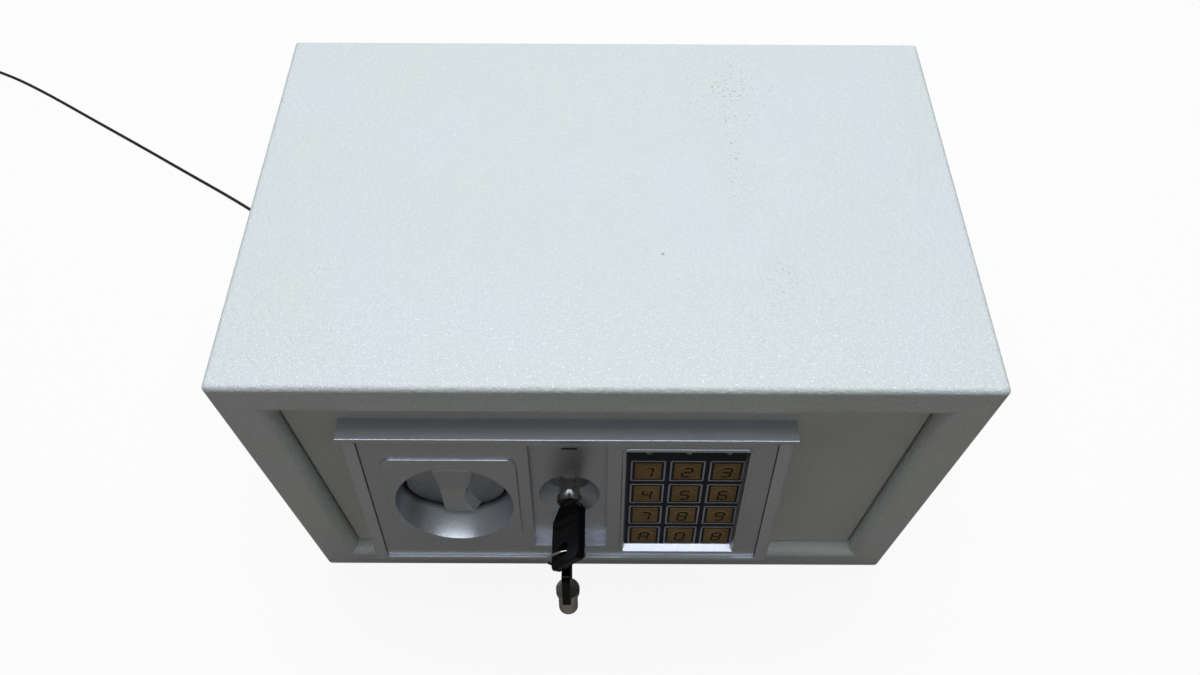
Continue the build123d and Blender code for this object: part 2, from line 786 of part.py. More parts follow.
mat_front = plate_back + button_flange_gap + button_flange_thickness + button_travel + mat_gap
with BuildPart() as contact_mat:
    with BuildSketch(face_plane(plate_back)):
        with Locations((keypad_offset_x, keypad_center_y)):
            Rectangle(keypad_margin_width, keypad_margin_height)
    extrude(amount=-(mat_front - plate_back + contact_mat_thickness))
    with BuildSketch(face_plane(plate_back)):
        with Locations((keypad_offset_x, keypad_center_y)):
            Rectangle(keypad_margin_width - 2 * mat_rim, keypad_margin_height - 2 * mat_rim)
    extrude(amount=-(mat_front - plate_back), mode=Mode.SUBTRACT)
save("contact_mat", contact_mat)

with BuildPart() as control_board:
    with BuildSketch(face_plane(mat_front + contact_mat_thickness)):
        with Locations((keypad_offset_x, keypad_center_y)):
            Rectangle(keypad_margin_width, keypad_margin_height)
    extrude(amount=-board_thickness)
save("control_board", control_board)

# Twelve buttons, each a cap through the plate with a flange that the plate holds back
flange_front = plate_back + button_flange_gap
for button_name, button_place in zip(button_names, button_places):
    with BuildPart() as button:
        with BuildSketch(face_plane(flange_front + button_flange_thickness)):
            with Locations(button_place):
                Rectangle(button_width + 2 * button_flange, button_height + 2 * button_flange)
        extrude(amount=button_flange_thickness)
        with BuildSketch(face_plane(flange_front)):
            with Locations(button_place):
                Rectangle(button_width, button_height)
        extrude(amount=flange_front - ledge_depth + button_proud)
        cap_face = button.faces().sort_by(Axis((0, 0, 0), (0, -tilt_cos, tilt_sin)))[-1]
        chamfer(cap_face.edges(), length=button_proud / 2)
    save("button_" + button_name, button)

# Knob: a disc in the bowl with a tapered grip, and a hub behind it
grip_plane = Plane(
    origin=(knob_x, front_y + knob_face - grip_front_at_axis, knob_z),
    x_dir=(1, 0, 0),
    z_dir=(0, -cos(radians(grip_tilt)), sin(radians(grip_tilt))),
)
with BuildPart() as knob:
    extrude(round_at(knob_x, knob_z, knob_radius, knob_face), amount=-knob_disc_thickness)
    with BuildSketch(depth_plane(knob_face)):
        with BuildLine():
            Polyline(
                (knob_x - grip_top_width / 2, knob_z + grip_top),
                (knob_x + grip_top_width / 2, knob_z + grip_top),
                (knob_x + grip_bottom_width / 2, knob_z - grip_bottom),
                (knob_x - grip_bottom_width / 2, knob_z - grip_bottom),
                close=True,
            )
        grip_outline = make_face()
        low_corners = grip_outline.vertices().group_by(Axis.Y)[0]
        fillet(low_corners, radius=grip_bottom_corner)
    extrude(amount=grip_front_at_axis + grip_bottom)
    split(bisect_by=grip_plane, keep=Keep.BOTTOM)
    grip_face = knob.faces().sort_by(Axis((0, 0, 0), grip_plane.z_dir))[-1]
    fillet(grip_face.edges(), radius=grip_edge_radius)
    hub_start = knob_face + knob_disc_thickness
    extrude(round_at(knob_x, knob_z, hub_radius, hub_start), amount=hub_start - hub_end)
    shaft_start = knob_face + knob_disc_thickness / 2
    shaft_face = round_at(knob_x, knob_z, shaft_radius, shaft_start)
    extrude(shaft_face, amount=shaft_start - hub_end, mode=Mode.SUBTRACT)
save("knob", knob)

with BuildPart() as knob_bushing:
    flange_start = door_recess - bushing_flange
    extrude(round_at(knob_x, knob_z, bushing_flange_radius, flange_start), amount=-bushing_flange)
    extrude(round_at(knob_x, knob_z, bushing_radius, door_recess), amount=-(bushing_end - door_recess))
    bore_face = round_at(knob_x, knob_z, shaft_radius + shaft_clearance, flange_start)
    extrude(bore_face, amount=-(bushing_end - flange_start), mode=Mode.SUBTRACT)
save("knob_bushing", knob_bushing)

crank_back = crank_front + crank_thickness
with BuildPart() as knob_shaft:
    extrude(round_at(knob_x, knob_z, shaft_radius, shaft_start), amount=-(crank_back - shaft_start))
save("knob_shaft", knob_shaft)

# Crank whose pin draws the bolts
pin_swing = radians(crank_swing / 2)
crank_pin_x = knob_x + crank_radius * sin(pin_swing)
crank_pin_z = knob_z + crank_radius * cos(pin_swing)
with BuildPart() as crank:
    with BuildSketch(depth_plane(crank_front)):
        with Locations((knob_x, knob_z)):
            Circle(hub_radius)
        with Locations((crank_pin_x, crank_pin_z)):
            Circle(crank_pin_radius + carrier_sheet)
        make_hull()
        with Locations((knob_x, knob_z)):
            Circle(shaft_radius, mode=Mode.SUBTRACT)
    extrude(amount=-crank_thickness)
    pin_reach = carrier_front + 2 * carrier_sheet - crank_front
    extrude(round_at(crank_pin_x, crank_pin_z, crank_pin_radius, crank_front), amount=-pin_reach)
save("crank", crank)

# Bolt carrier: a bar for the bolts, a tongue for the crank and a bent flange
crank_slot_z = knob_z + crank_radius * (1 + cos(pin_swing)) / 2
crank_slot_width = 2 * (crank_pin_radius + crank_slot_clearance)
crank_slot_length = crank_radius * (1 - cos(pin_swing)) + crank_slot_width + crank_slot_clearance
bolt_y = front_y + bolt_set_back
carrier_flange_depth = bolt_set_back + bolt_radius - carrier_front
rivet_radius = bolt_radius / 2
notch_places = [(plunger_x, tongue_bottom), (plunger_x + bolt_throw, tongue_bottom)]
with BuildPart() as bolt_carrier:
    with BuildSketch(depth_plane(carrier_front)):
        with Locations((carrier_left + carrier_bar_width / 2, (carrier_top + carrier_bottom) / 2)):
            Rectangle(carrier_bar_width, carrier_top - carrier_bottom)
        with Locations(((carrier_left + carrier_right) / 2, (tongue_top + tongue_bottom) / 2)):
            Rectangle(carrier_right - carrier_left, tongue_top - tongue_bottom)
        with Locations((crank_pin_x, crank_slot_z)):
            SlotOverall(crank_slot_length, crank_slot_width, rotation=90, mode=Mode.SUBTRACT)
        with Locations(*[(x + bolt_throw / 2, z) for x, z in stud_places]):
            slot_width = 2 * (stud_radius + stud_slot_clearance)
            SlotOverall(bolt_throw + slot_width, slot_width, mode=Mode.SUBTRACT)
        with Locations(*notch_places):
            Rectangle(2 * (plunger_radius + notch_clearance), 2 * notch_depth, mode=Mode.SUBTRACT)
    extrude(amount=-carrier_sheet)
    with BuildSketch(Plane.YZ.offset(carrier_left)):
        flange_center_y = front_y + carrier_front + carrier_flange_depth / 2
        with Locations((flange_center_y, (carrier_top + carrier_bottom) / 2)):
            Rectangle(carrier_flange_depth, carrier_top - carrier_bottom)
        with Locations(*[(bolt_y, z) for z in bolt_heights]):
            Circle(rivet_radius, mode=Mode.SUBTRACT)
    extrude(amount=carrier_sheet)
save("bolt_carrier", bolt_carrier)

# Two round locking bolts, riveted through the carrier's flange
with BuildPart() as locking_bolts:
    with BuildSketch(Plane.YZ.offset(bolt_tip_x)):
        with Locations(*[(bolt_y, z) for z in bolt_heights]):
            Circle(bolt_radius)
    extrude(amount=carrier_left - bolt_tip_x)
    chamfer(locking_bolts.edges().group_by(Axis.X)[0], length=bolt_chamfer)
    with BuildSketch(Plane.YZ.offset(carrier_left)):
        with Locations(*[(bolt_y, z) for z in bolt_heights]):
            Circle(rivet_radius)
    extrude(amount=carrier_sheet)
    with BuildSketch(Plane.YZ.offset(carrier_left + carrier_sheet)):
        with Locations(*[(bolt_y, z) for z in bolt_heights]):
            Circle(rivet_radius + bolt_chamfer)
    extrude(amount=bolt_chamfer)
save("locking_bolts", locking_bolts)

# Shoulder studs that carry and guide the carrier
stud_shoulder_end = carrier_front - stud_gap
stud_head_start = carrier_front + carrier_sheet + stud_gap
with BuildPart() as guide_studs:
    for stud_x, stud_z in stud_places:
        extrude(round_at(stud_x, stud_z, stud_radius, door_recess), amount=door_recess - stud_head_start)
        shoulder_face = round_at(stud_x, stud_z, stud_shoulder_radius, door_back)
        extrude(shoulder_face, amount=door_back - stud_shoulder_end)
        extrude(round_at(stud_x, stud_z, stud_shoulder_radius, stud_head_start), amount=-stud_head)
save("guide_studs", guide_studs)

# Solenoid on the door plate, and the plunger that locks the carrier
plunger_y = front_y + carrier_front + carrier_sheet / 2
plunger_tip_z = tongue_bottom - plunger_gap
solenoid_top = tongue_bottom - solenoid_drop
solenoid_depth = 2 * (carrier_front + carrier_sheet / 2 - door_back)
with BuildPart() as solenoid:
    with BuildSketch(Plane.XY.offset(solenoid_top - solenoid_height)):
        with Locations((plunger_x, plunger_y)):
            Rectangle(solenoid_width, solenoid_depth)
    extrude(amount=solenoid_height)
    fillet(solenoid.edges().filter_by(Axis.Z), radius=plunger_radius / 2)
    with BuildSketch(Plane.XY.offset(solenoid_top)):
        with Locations((plunger_x, plunger_y)):
            Circle(plunger_radius + plunger_clearance)
    bore_depth = plunger_length - (plunger_tip_z - solenoid_top) + plunger_gap
    extrude(amount=-bore_depth, mode=Mode.SUBTRACT)
save("solenoid", solenoid)

with BuildPart() as solenoid_plunger:
    with BuildSketch(Plane.XY.offset(plunger_tip_z - plunger_length)):
        with Locations((plunger_x, plunger_y)):
            Circle(plunger_radius)
    extrude(amount=plunger_length)
    chamfer(solenoid_plunger.edges().sort_by(Axis.Z)[-1], length=plunger_radius / 4)
    with BuildSketch(Plane.XY.offset(plunger_tip_z - plunger_collar_drop)):
        with Locations((plunger_x, plunger_y)):
            Circle(plunger_collar_radius)
    extrude(amount=-plunger_collar)
save("solenoid_plunger", solenoid_plunger)

# Override lock: a threaded body through the recess and the door, its nut, rotor and cam
lock_bore_radius = rotor_radius + rotor_clearance
lock_lip_start = lock_end - rotor_lip
lock_face = lock_floor - lock_flange
with BuildPart() as lock_body:
    extrude(round_at(lock_x, lock_z, lock_flange_radius, lock_face), amount=-lock_flange)
    extrude(round_at(lock_x, lock_z, lock_radius, lock_floor), amount=-(lock_end - lock_floor))
    rim = lock_body.edges().filter_by(GeomType.CIRCLE).group_by(Axis.Y)[0]
    chamfer(rim, length=lock_flange / 2)
    rotor_bore = round_at(lock_x, lock_z, lock_bore_radius, lock_face)
    extrude(rotor_bore, amount=lock_face - lock_lip_start, mode=Mode.SUBTRACT)
    lip_bore = round_at(lock_x, lock_z, rotor_stub_radius + rotor_clearance, lock_lip_start)
    extrude(lip_bore, amount=-rotor_lip, mode=Mode.SUBTRACT)
save("lock_body", lock_body)

with BuildPart() as lock_nut:
    with BuildSketch(depth_plane(door_back)):
        with Locations((lock_x, lock_z)):
            RegularPolygon(nut_width / 2, 6, major_radius=False)
            Circle(lock_radius, mode=Mode.SUBTRACT)
    extrude(amount=-nut_thickness)
save("lock_nut", lock_nut)

rotor_front = lock_face + rotor_clearance
rotor_end = lock_lip_start - rotor_clearance
with BuildPart() as lock_rotor:
    extrude(round_at(lock_x, lock_z, rotor_radius, rotor_front), amount=rotor_front - rotor_end)
    extrude(round_at(lock_x, lock_z, rotor_stub_radius, rotor_end), amount=rotor_end - rotor_stub_end)
    with BuildSketch(depth_plane(rotor_front)):
        with Locations((lock_x, lock_z)):
            Circle(key_outer_radius + keyway_clearance)
            Circle(key_inner_radius - keyway_clearance, mode=Mode.SUBTRACT)
    extrude(amount=-keyway_depth, mode=Mode.SUBTRACT)
save("lock_rotor", lock_rotor)

cam_tip_x = lock_x + cam_length * cos(radians(cam_angle))
cam_tip_z = lock_z + cam_length * sin(radians(cam_angle))
with BuildPart() as lock_cam:
    with BuildSketch(depth_plane(cam_front)):
        with Locations((lock_x, lock_z)):
            Circle(cam_hub_radius)
        with Locations((cam_tip_x, cam_tip_z)):
            Circle(cam_width / 2)
        make_hull()
        with Locations((lock_x, lock_z)):
            Circle(rotor_stub_radius, mode=Mode.SUBTRACT)
    extrude(amount=-cam_thickness)
save("lock_cam", lock_cam)

cam_back = cam_front + cam_thickness
with BuildPart() as cam_nut:
    with BuildSketch(depth_plane(cam_back)):
        with Locations((lock_x, lock_z)):
            RegularPolygon(cam_hub_radius, 6, major_radius=False)
            Circle(rotor_stub_radius, mode=Mode.SUBTRACT)
    extrude(amount=cam_back - rotor_stub_end)
save("cam_nut", cam_nut)

# Keys: one in the lock, turned, and a spare that hangs from it on the ring
key_insertion = rotor_front + keyway_depth - key_seat_gap - key_head_start


def make_key_barrel(key_plane):
    """The tubular end of a key, its collar and the flat tang inside the head."""
    tube_plane = Plane(origin=key_plane.origin, x_dir=key_plane.y_dir, z_dir=-key_plane.x_dir)
    with BuildPart() as barrel:
        with BuildSketch(tube_plane):
            Circle(key_outer_radius)
        extrude(amount=key_insertion)
        with BuildSketch(tube_plane.offset(key_insertion)):
            Circle(key_inner_radius)
        extrude(amount=-(key_insertion - key_collar), mode=Mode.SUBTRACT)
        with BuildSketch(tube_plane):
            Circle(key_collar_radius)
        extrude(amount=key_collar)
        with BuildSketch(key_plane):
            with Locations((key_tang / 2, 0)):
                Rectangle(key_tang, key_tang)
        extrude(amount=key_head_thickness / 4, both=True)
    return barrel


def make_key_head(key_plane):
    """The flat moulded head of a key, with shoulders and a long hole for the ring."""
    with BuildPart() as head:
        with BuildSketch(key_plane):
            with BuildLine():
                Polyline(
                    (0, key_collar_radius),
                    (key_head_shoulder, key_head_width / 2),
                    (key_head_length, key_head_width / 2),
                    (key_head_length, -key_head_width / 2),
                    (key_head_shoulder, -key_head_width / 2),
                    (0, -key_collar_radius),
                    close=True,
                )
            outline = make_face()
            fillet(outline.vertices().sort_by(Axis.X)[-2:], radius=key_head_corner)
            with Locations((ring_hole_place, ring_hole_drop)):
                SlotOverall(ring_hole_length, ring_hole_width, rotation=90, mode=Mode.SUBTRACT)
        extrude(amount=key_head_thickness / 2, both=True)
        flat_faces = head.faces().sort_by(Axis(key_plane.origin, key_plane.z_dir))
        outer_edges = flat_faces[0].outer_wire().edges() + flat_faces[-1].outer_wire().edges()
        chamfer(outer_edges, length=key_head_thickness / 8)
        with BuildSketch(key_plane):
            with Locations((key_tang / 2, 0)):
                Rectangle(key_tang, key_tang)
        extrude(amount=key_head_thickness / 4, both=True, mode=Mode.SUBTRACT)
    return head


key_plane = Plane(
    origin=(lock_x, front_y + key_head_start, lock_z),
    x_dir=(0, -1, 0),
    z_dir=(cos(radians(key_turned)), 0, -sin(radians(key_turned))),
)
key_barrel = make_key_barrel(key_plane)
save("key_barrel", key_barrel)
key_head = make_key_head(key_plane)
save("key_head", key_head)

half_thickness = key_head_thickness / 2
ring_lean = half_thickness * tan(radians(key_turned)) + ring_wire_radius / cos(radians(key_turned))
ring_sag = half_thickness**2 / (2 * ring_radius)
ring_seat_y = ring_hole_drop + ring_hole_length / 2 - ring_lean - ring_sag - ring_seat_gap
ring_top = key_plane.from_local_coords((ring_hole_place, ring_seat_y, 0))
ring_center = ring_top - Vector(0, 0, ring_radius)
ring_along = Vector(cos(radians(ring_yaw)), sin(radians(ring_yaw)), 0)
with BuildPart() as key_ring:
    with Locations(Plane(origin=ring_center, x_dir=ring_along, z_dir=ring_along.cross(Vector(0, 0, 1)))):
        Torus(ring_radius, ring_wire_radius)
save("key_ring", key_ring)

spare_up = Vector(0, sin(radians(spare_tilt)), cos(radians(spare_tilt)))
spare_across = Vector(1, 0, 0).cross(spare_up)
ring_bottom = ring_center - Vector(0, 0, ring_radius)
spare_hang = ring_hole_place + ring_hole_width / 2 - ring_wire_radius - ring_seat_gap
spare_plane = Plane(
    origin=ring_bottom - spare_up * spare_hang - spare_across * ring_hole_drop,
    x_dir=spare_up,
    z_dir=(1, 0, 0),
)
spare_key_barrel = make_key_barrel(spare_plane)
save("spare_key_barrel", spare_key_barrel)
spare_key_head = make_key_head(spare_plane)
save("spare_key_head", spare_key_head)

# Inner cover: a shallow steel box over the works, screwed to four posts on the door plate
battery_inner_width = battery_length + battery_terminal + 2 * battery_clearance
battery_inner_height = battery_count * battery_pitch
battery_box_width = battery_inner_width + 2 * battery_box_wall
battery_box_height = battery_inner_height + 2 * battery_box_wall
cover_inside = cover_end - cover_sheet
with BuildPart() as inner_cover:
    with BuildSketch(depth_plane(door_back)):
        with Locations(((cover_left + cover_right) / 2, (cover_bottom + cover_top) / 2)):
            Rectangle(cover_right - cover_left, cover_top - cover_bottom)
    extrude(amount=-(cover_end - door_back))
    corner_edges = inner_cover.edges().filter_by(Axis.Y)
    fillet(corner_edges + inner_cover.edges().group_by(Axis.Y)[-1], radius=cover_edge_radius)
    with BuildSketch(depth_plane(door_back)):
        with Locations(((cover_left + cover_right) / 2, (cover_bottom + cover_top) / 2)):
            inner_width = cover_right - cover_left - 2 * cover_sheet
            inner_height = cover_top - cover_bottom - 2 * cover_sheet
            RectangleRounded(inner_width, inner_height, cover_edge_radius - cover_sheet)
    extrude(amount=-(cover_inside - door_back), mode=Mode.SUBTRACT)
    with BuildSketch(Plane.YZ.offset(cover_left)):
        with Locations(*[(bolt_y, z) for z in bolt_heights]):
            Circle(bolt_radius + bolt_clearance)
    extrude(amount=cover_sheet, mode=Mode.SUBTRACT)
    with BuildSketch(depth_plane(cover_inside)):
        with Locations((battery_center_x, battery_center_z)):
            Rectangle(battery_box_width, battery_box_height)
        with Locations((reset_x, reset_z)):
            Circle(reset_radius + reset_clearance)
        with Locations(*cover_screw_places):
            Circle(cover_screw_radius + cover_hole_clearance)
    extrude(amount=-cover_sheet, mode=Mode.SUBTRACT)
save("inner_cover", inner_cover)

with BuildPart() as cover_posts:
    for post_x, post_z in cover_screw_places:
        extrude(round_at(post_x, post_z, cover_post_radius, door_back), amount=door_back - cover_inside)
        thread_face = round_at(post_x, post_z, cover_screw_radius, cover_inside)
        extrude(thread_face, amount=cover_post_thread, mode=Mode.SUBTRACT)
save("cover_posts", cover_posts)

with BuildPart() as cover_screws:
    for post_x, post_z in cover_screw_places:
        shank_face = round_at(post_x, post_z, cover_screw_radius, cover_end)
        extrude(shank_face, amount=cover_post_thread + cover_sheet)
        head_face = round_at(post_x, post_z, cover_screw_head_radius, cover_end)
        extrude(head_face, amount=-cover_screw_head)
    chamfer(cover_screws.edges().group_by(Axis.Y)[-1], length=cover_screw_head / 2)
save("cover_screws", cover_screws)

# Battery box through the cover, with rails for its sliding lid, and four cells
battery_center_inset = cover_end - battery_clearance - battery_radius - battery_box_flange_thickness / 2
battery_box_floor = battery_center_inset - battery_radius - battery_clearance
flange_width = battery_box_width + 2 * battery_box_flange
flange_height = battery_box_height + 2 * battery_box_flange
lid_front = cover_end + battery_box_flange_thickness + battery_cover_gap
lid_width = battery_inner_width + 2 * battery_cover_margin
lid_height = battery_box_height + 2 * battery_cover_margin
lid_back = lid_front + battery_cover_thickness
rail_end = lid_back + battery_cover_gap + battery_rail_thickness
rail_cut_x = battery_center_x + lid_width / 2 + battery_cover_gap - flange_width / 2
with BuildPart() as battery_box:
    with BuildSketch(depth_plane(battery_box_floor - battery_box_wall)):
        with Locations((battery_center_x, battery_center_z)):
            Rectangle(battery_box_width, battery_box_height)
    extrude(amount=-(cover_end - battery_box_floor + battery_box_wall))
    with BuildSketch(depth_plane(cover_end)):
        with Locations((battery_center_x, battery_center_z)):
            Rectangle(flange_width, flange_height)
    extrude(amount=-(rail_end - cover_end))
    with BuildSketch(depth_plane(cover_end + battery_box_flange_thickness)):
        with Locations((rail_cut_x, battery_center_z)):
            Rectangle(flange_width, lid_height + 2 * battery_cover_gap)
    rail_slot_depth = lid_back + battery_cover_gap - cover_end - battery_box_flange_thickness
    extrude(amount=-rail_slot_depth, mode=Mode.SUBTRACT)
    with BuildSketch(depth_plane(lid_back + battery_cover_gap)):
        with Locations((rail_cut_x, battery_center_z)):
            Rectangle(flange_width, lid_height - 2 * battery_rail_lip)
    extrude(amount=-battery_rail_thickness, mode=Mode.SUBTRACT)
    with BuildSketch(depth_plane(battery_box_floor)):
        with Locations((battery_center_x, battery_center_z)):
            Rectangle(battery_inner_width, battery_inner_height)
    extrude(amount=-(cover_end + battery_box_flange_thickness - battery_box_floor), mode=Mode.SUBTRACT)
save("battery_box", battery_box)

with BuildPart() as batteries:
    for index in range(battery_count):
        cell_z = battery_center_z + battery_pitch * (index - (battery_count - 1) / 2)
        way = 1 if index % 2 else -1
        cell_start = battery_center_x - way * (battery_length + battery_terminal) / 2
        with BuildSketch(Plane.YZ.offset(cell_start)):
            with Locations((front_y + battery_center_inset, cell_z)):
                Circle(battery_radius)
        extrude(amount=way * battery_length)
        with BuildSketch(Plane.YZ.offset(cell_start + way * battery_length)):
            with Locations((front_y + battery_center_inset, cell_z)):
                Circle(battery_terminal_radius)
        extrude(amount=way * battery_terminal)
save("batteries", batteries)

with BuildPart() as battery_cover:
    with BuildSketch(depth_plane(lid_front)):
        with Locations((battery_center_x, battery_center_z)):
            Rectangle(lid_width, lid_height)
    extrude(amount=-battery_cover_thickness)
    with BuildSketch(depth_plane(lid_back)):
        with Locations((battery_center_x + lid_width / 2 - battery_grip_width, battery_center_z)):
            SlotOverall(2 * battery_grip_width, battery_grip_width / 2, rotation=90)
    extrude(amount=battery_grip_depth, mode=Mode.SUBTRACT)
save("battery_cover", battery_cover)

# Reset button through the cover, and the switch behind it
reset_flange_start = cover_inside - reset_flange_gap - reset_flange
with BuildPart() as reset_button:
    extrude(round_at(reset_x, reset_z, reset_flange_radius, reset_flange_start), amount=-reset_flange)
    stem_length = cover_end + reset_proud - reset_flange_start
    extrude(round_at(reset_x, reset_z, reset_radius, reset_flange_start), amount=-stem_length)
    chamfer(reset_button.edges().group_by(Axis.Y)[-1], length=reset_proud / 4)
save("reset_button", reset_button)

switch_back = reset_flange_start - reset_travel - reset_flange_gap
switch_left = reset_x - reset_switch_size / 2
switch_right = cover_right - cover_sheet
with BuildPart() as reset_switch:
    with BuildSketch(depth_plane(switch_back - reset_switch_height)):
        with Locations(((switch_left + switch_right) / 2, reset_z)):
            Rectangle(switch_right - switch_left, reset_switch_size)
    extrude(amount=-reset_switch_height)
save("reset_switch", reset_switch)

# Grommet where the power lead leaves the rear panel
grommet_inner_y = rear_y - body_sheet - grommet_flange
tail_start_y = rear_y + grommet_flange
with BuildPart() as cord_grommet:
    with BuildSketch(Plane.XY.offset(grommet_z)):
        with BuildLine():
            Polyline(
                (grommet_x, grommet_inner_y),
                (grommet_x + grommet_flange_radius, grommet_inner_y),
                (grommet_x + grommet_flange_radius, grommet_inner_y + grommet_flange),
                (grommet_x + grommet_hole_radius, grommet_inner_y + grommet_flange),
                (grommet_x + grommet_hole_radius, rear_y),
                (grommet_x + grommet_flange_radius, rear_y),
                (grommet_x + grommet_flange_radius, tail_start_y),
                (grommet_x + grommet_hole_radius, tail_start_y),
                (grommet_x + grommet_tail_radius, tail_start_y + grommet_tail),
                (grommet_x, tail_start_y + grommet_tail),
                close=True,
            )
        make_face()
    revolve(axis=Axis((grommet_x, 0, grommet_z), (0, 1, 0)))
save("cord_grommet", cord_grommet)

# Power lead: straight runs joined by arcs, as large as the runs allow
lead_points = [Vector(*point) for point in lead_route]
lead_radii = []
for before, corner, after in zip(lead_points, lead_points[1:], lead_points[2:]):
    turn = radians((corner - before).get_angle(after - corner))
    shorter_run = min((corner - before).length, (after - corner).length)
    lead_radii.append(lead_bend_share * shorter_run / tan(turn / 2))
print("lead radii", [round(radius) for radius in lead_radii])
with BuildPart() as lead_cable:
    with BuildLine() as lead_path:
        FilletPolyline(*lead_points, radius=lead_radii)
    lead_wire = lead_path.wires()[0]
    with BuildSketch(Plane(origin=lead_points[0], z_dir=lead_points[1] - lead_points[0])):
        Circle(lead_radius)
    sweep(path=lead_wire)
save("lead_cable", lead_cable)
lead_section = pi * lead_radius**2
lead_volume_ratio = lead_cable.part.volume / (lead_section * lead_wire.length)
print("lead length", round(lead_wire.length, 1), "volume ratio", round(lead_volume_ratio, 4))

# Coil of spare lead: half turns that spiral in, climb one layer and spiral out again
coil_end_run = 2 * lead_radius
along = (lead_points[-1] - lead_points[-2]).normalized()
towards = Vector(-along.Y, along.X, 0)
half_turn_radii = [coil_outer_radius - coil_pitch / 2 * step for step in range(coil_half_turns_in)]
climb_radius = coil_outer_radius - coil_pitch / 2 * coil_half_turns_in
half_turn_radii.append(climb_radius)
half_turn_radii += [climb_radius + coil_pitch / 2 * (step + 1) for step in range(coil_half_turns_out)]
with BuildPart() as lead_coil:
    with BuildLine() as coil_path:
        Line(lead_points[-1], lead_points[-1] + along * coil_end_run)
        point = lead_points[-1] + along * coil_end_run
        for step, turn_radius in enumerate(half_turn_radii):
            rise = coil_layer_rise if step == coil_half_turns_in else 0
            bulge = hypot(turn_radius, rise / 2)
            middle = point + towards * turn_radius + along * bulge + Vector(0, 0, rise / 2)
            end = point + towards * (2 * turn_radius) + Vector(0, 0, rise)
            ThreePointArc(point, arc_middle(point, middle, along), middle)
            ThreePointArc(middle, arc_middle(end, middle, along), end)
            point = end
            along = -along
            towards = -towards
        Line(point, point + along * coil_end_run)
    coil_wire = coil_path.wires()[0]
    with BuildSketch(Plane(origin=lead_points[-1], z_dir=along)):
        Circle(lead_radius)
    sweep(path=coil_wire)
save("lead_coil", lead_coil)

coil_length = coil_wire.length
samples = [coil_wire @ (index / coil_samples) for index in range(coil_samples + 1)]
samples_apart = round(4 * coil_end_run / coil_length * coil_samples)
least_distance = min(
    (samples[first] - samples[second]).length
    for first in range(0, coil_samples + 1, 2)
    for second in range(first + samples_apart, coil_samples + 1, 2)
)
print("coil least gap to itself", round(least_distance - 2 * lead_radius, 3))
coil_volume_ratio = lead_coil.part.volume / (lead_section * coil_length)
print("coil length", round(coil_length, 1), "volume ratio", round(coil_volume_ratio, 4))

# Plug on the end of the lead
plug_start = point + along * coil_end_run
plug_plane = Plane(origin=plug_start, z_dir=along)
with BuildPart() as lead_plug:
    with BuildSketch(plug_plane):
        Circle(plug_relief_start)
    with BuildSketch(plug_plane.offset(plug_relief_length)):
        Circle(plug_relief_radius)
    loft()
    with BuildSketch(plug_plane.offset(plug_relief_length)):
        Circle(plug_radius)
    extrude(amount=plug_length)
    body_rims = lead_plug.edges().filter_by(GeomType.CIRCLE).filter_by(
        lambda edge: abs(edge.radius - plug_radius) < same_place
    )
    chamfer(body_rims, length=plug_edge)
    with BuildSketch(plug_plane.offset(plug_relief_length + plug_length)):
        Circle(plug_barrel_radius)
        Circle(plug_bore_radius, mode=Mode.SUBTRACT)
    extrude(amount=plug_barrel_length)
save("lead_plug", lead_plug)
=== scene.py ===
import math

import bmesh
import bpy
import numpy as np
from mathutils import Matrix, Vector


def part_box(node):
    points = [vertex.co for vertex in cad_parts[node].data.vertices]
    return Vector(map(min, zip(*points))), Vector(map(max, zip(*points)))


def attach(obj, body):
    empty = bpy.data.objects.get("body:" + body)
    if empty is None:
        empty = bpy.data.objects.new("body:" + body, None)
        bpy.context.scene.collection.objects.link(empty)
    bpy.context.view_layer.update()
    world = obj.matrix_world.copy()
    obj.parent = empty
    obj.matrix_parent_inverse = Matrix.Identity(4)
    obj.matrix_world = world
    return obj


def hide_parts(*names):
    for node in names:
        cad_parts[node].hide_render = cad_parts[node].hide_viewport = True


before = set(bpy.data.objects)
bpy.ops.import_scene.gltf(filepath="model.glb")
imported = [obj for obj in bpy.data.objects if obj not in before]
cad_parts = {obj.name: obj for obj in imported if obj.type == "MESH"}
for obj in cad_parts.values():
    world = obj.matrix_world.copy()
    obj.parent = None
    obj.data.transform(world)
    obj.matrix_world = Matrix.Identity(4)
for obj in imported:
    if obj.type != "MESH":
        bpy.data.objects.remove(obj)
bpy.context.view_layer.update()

print("frame loaded with", len(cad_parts), "nodes")


# small node helpers, shared by every finish

def newFinish(name):
    # an empty Principled material and its node tree
    finish = bpy.data.materials.new(name)
    finish.use_nodes = True
    tree = finish.node_tree
    shader = tree.nodes["Principled BSDF"]
    place = tree.nodes.new("ShaderNodeTexCoord").outputs["Object"]
    return finish, tree, shader, place


def noise(tree, place, scale, detail, roughness=0.5, stretch=(1, 1, 1)):
    # noise in the piece's own metres, so scale 1000 gives grains of about a millimetre
    mapping = tree.nodes.new("ShaderNodeMapping")
    mapping.inputs["Scale"].default_value = stretch
    tree.links.new(place, mapping.inputs["Vector"])
    node = tree.nodes.new("ShaderNodeTexNoise")
    node.inputs["Scale"].default_value = scale
    node.inputs["Detail"].default_value = detail
    node.inputs["Roughness"].default_value = roughness
    tree.links.new(mapping.outputs["Vector"], node.inputs["Vector"])
    return node.outputs["Fac"]


def remap(tree, value, low, high, newLow=0.0, newHigh=1.0):
    # a straight line from low and high to their new values, level beyond them
    node = tree.nodes.new("ShaderNodeMapRange")
    node.inputs["From Min"].default_value = low
    node.inputs["From Max"].default_value = high
    node.inputs["To Min"].default_value = newLow
    node.inputs["To Max"].default_value = newHigh
    tree.links.new(value, node.inputs["Value"])
    return node.outputs["Result"]


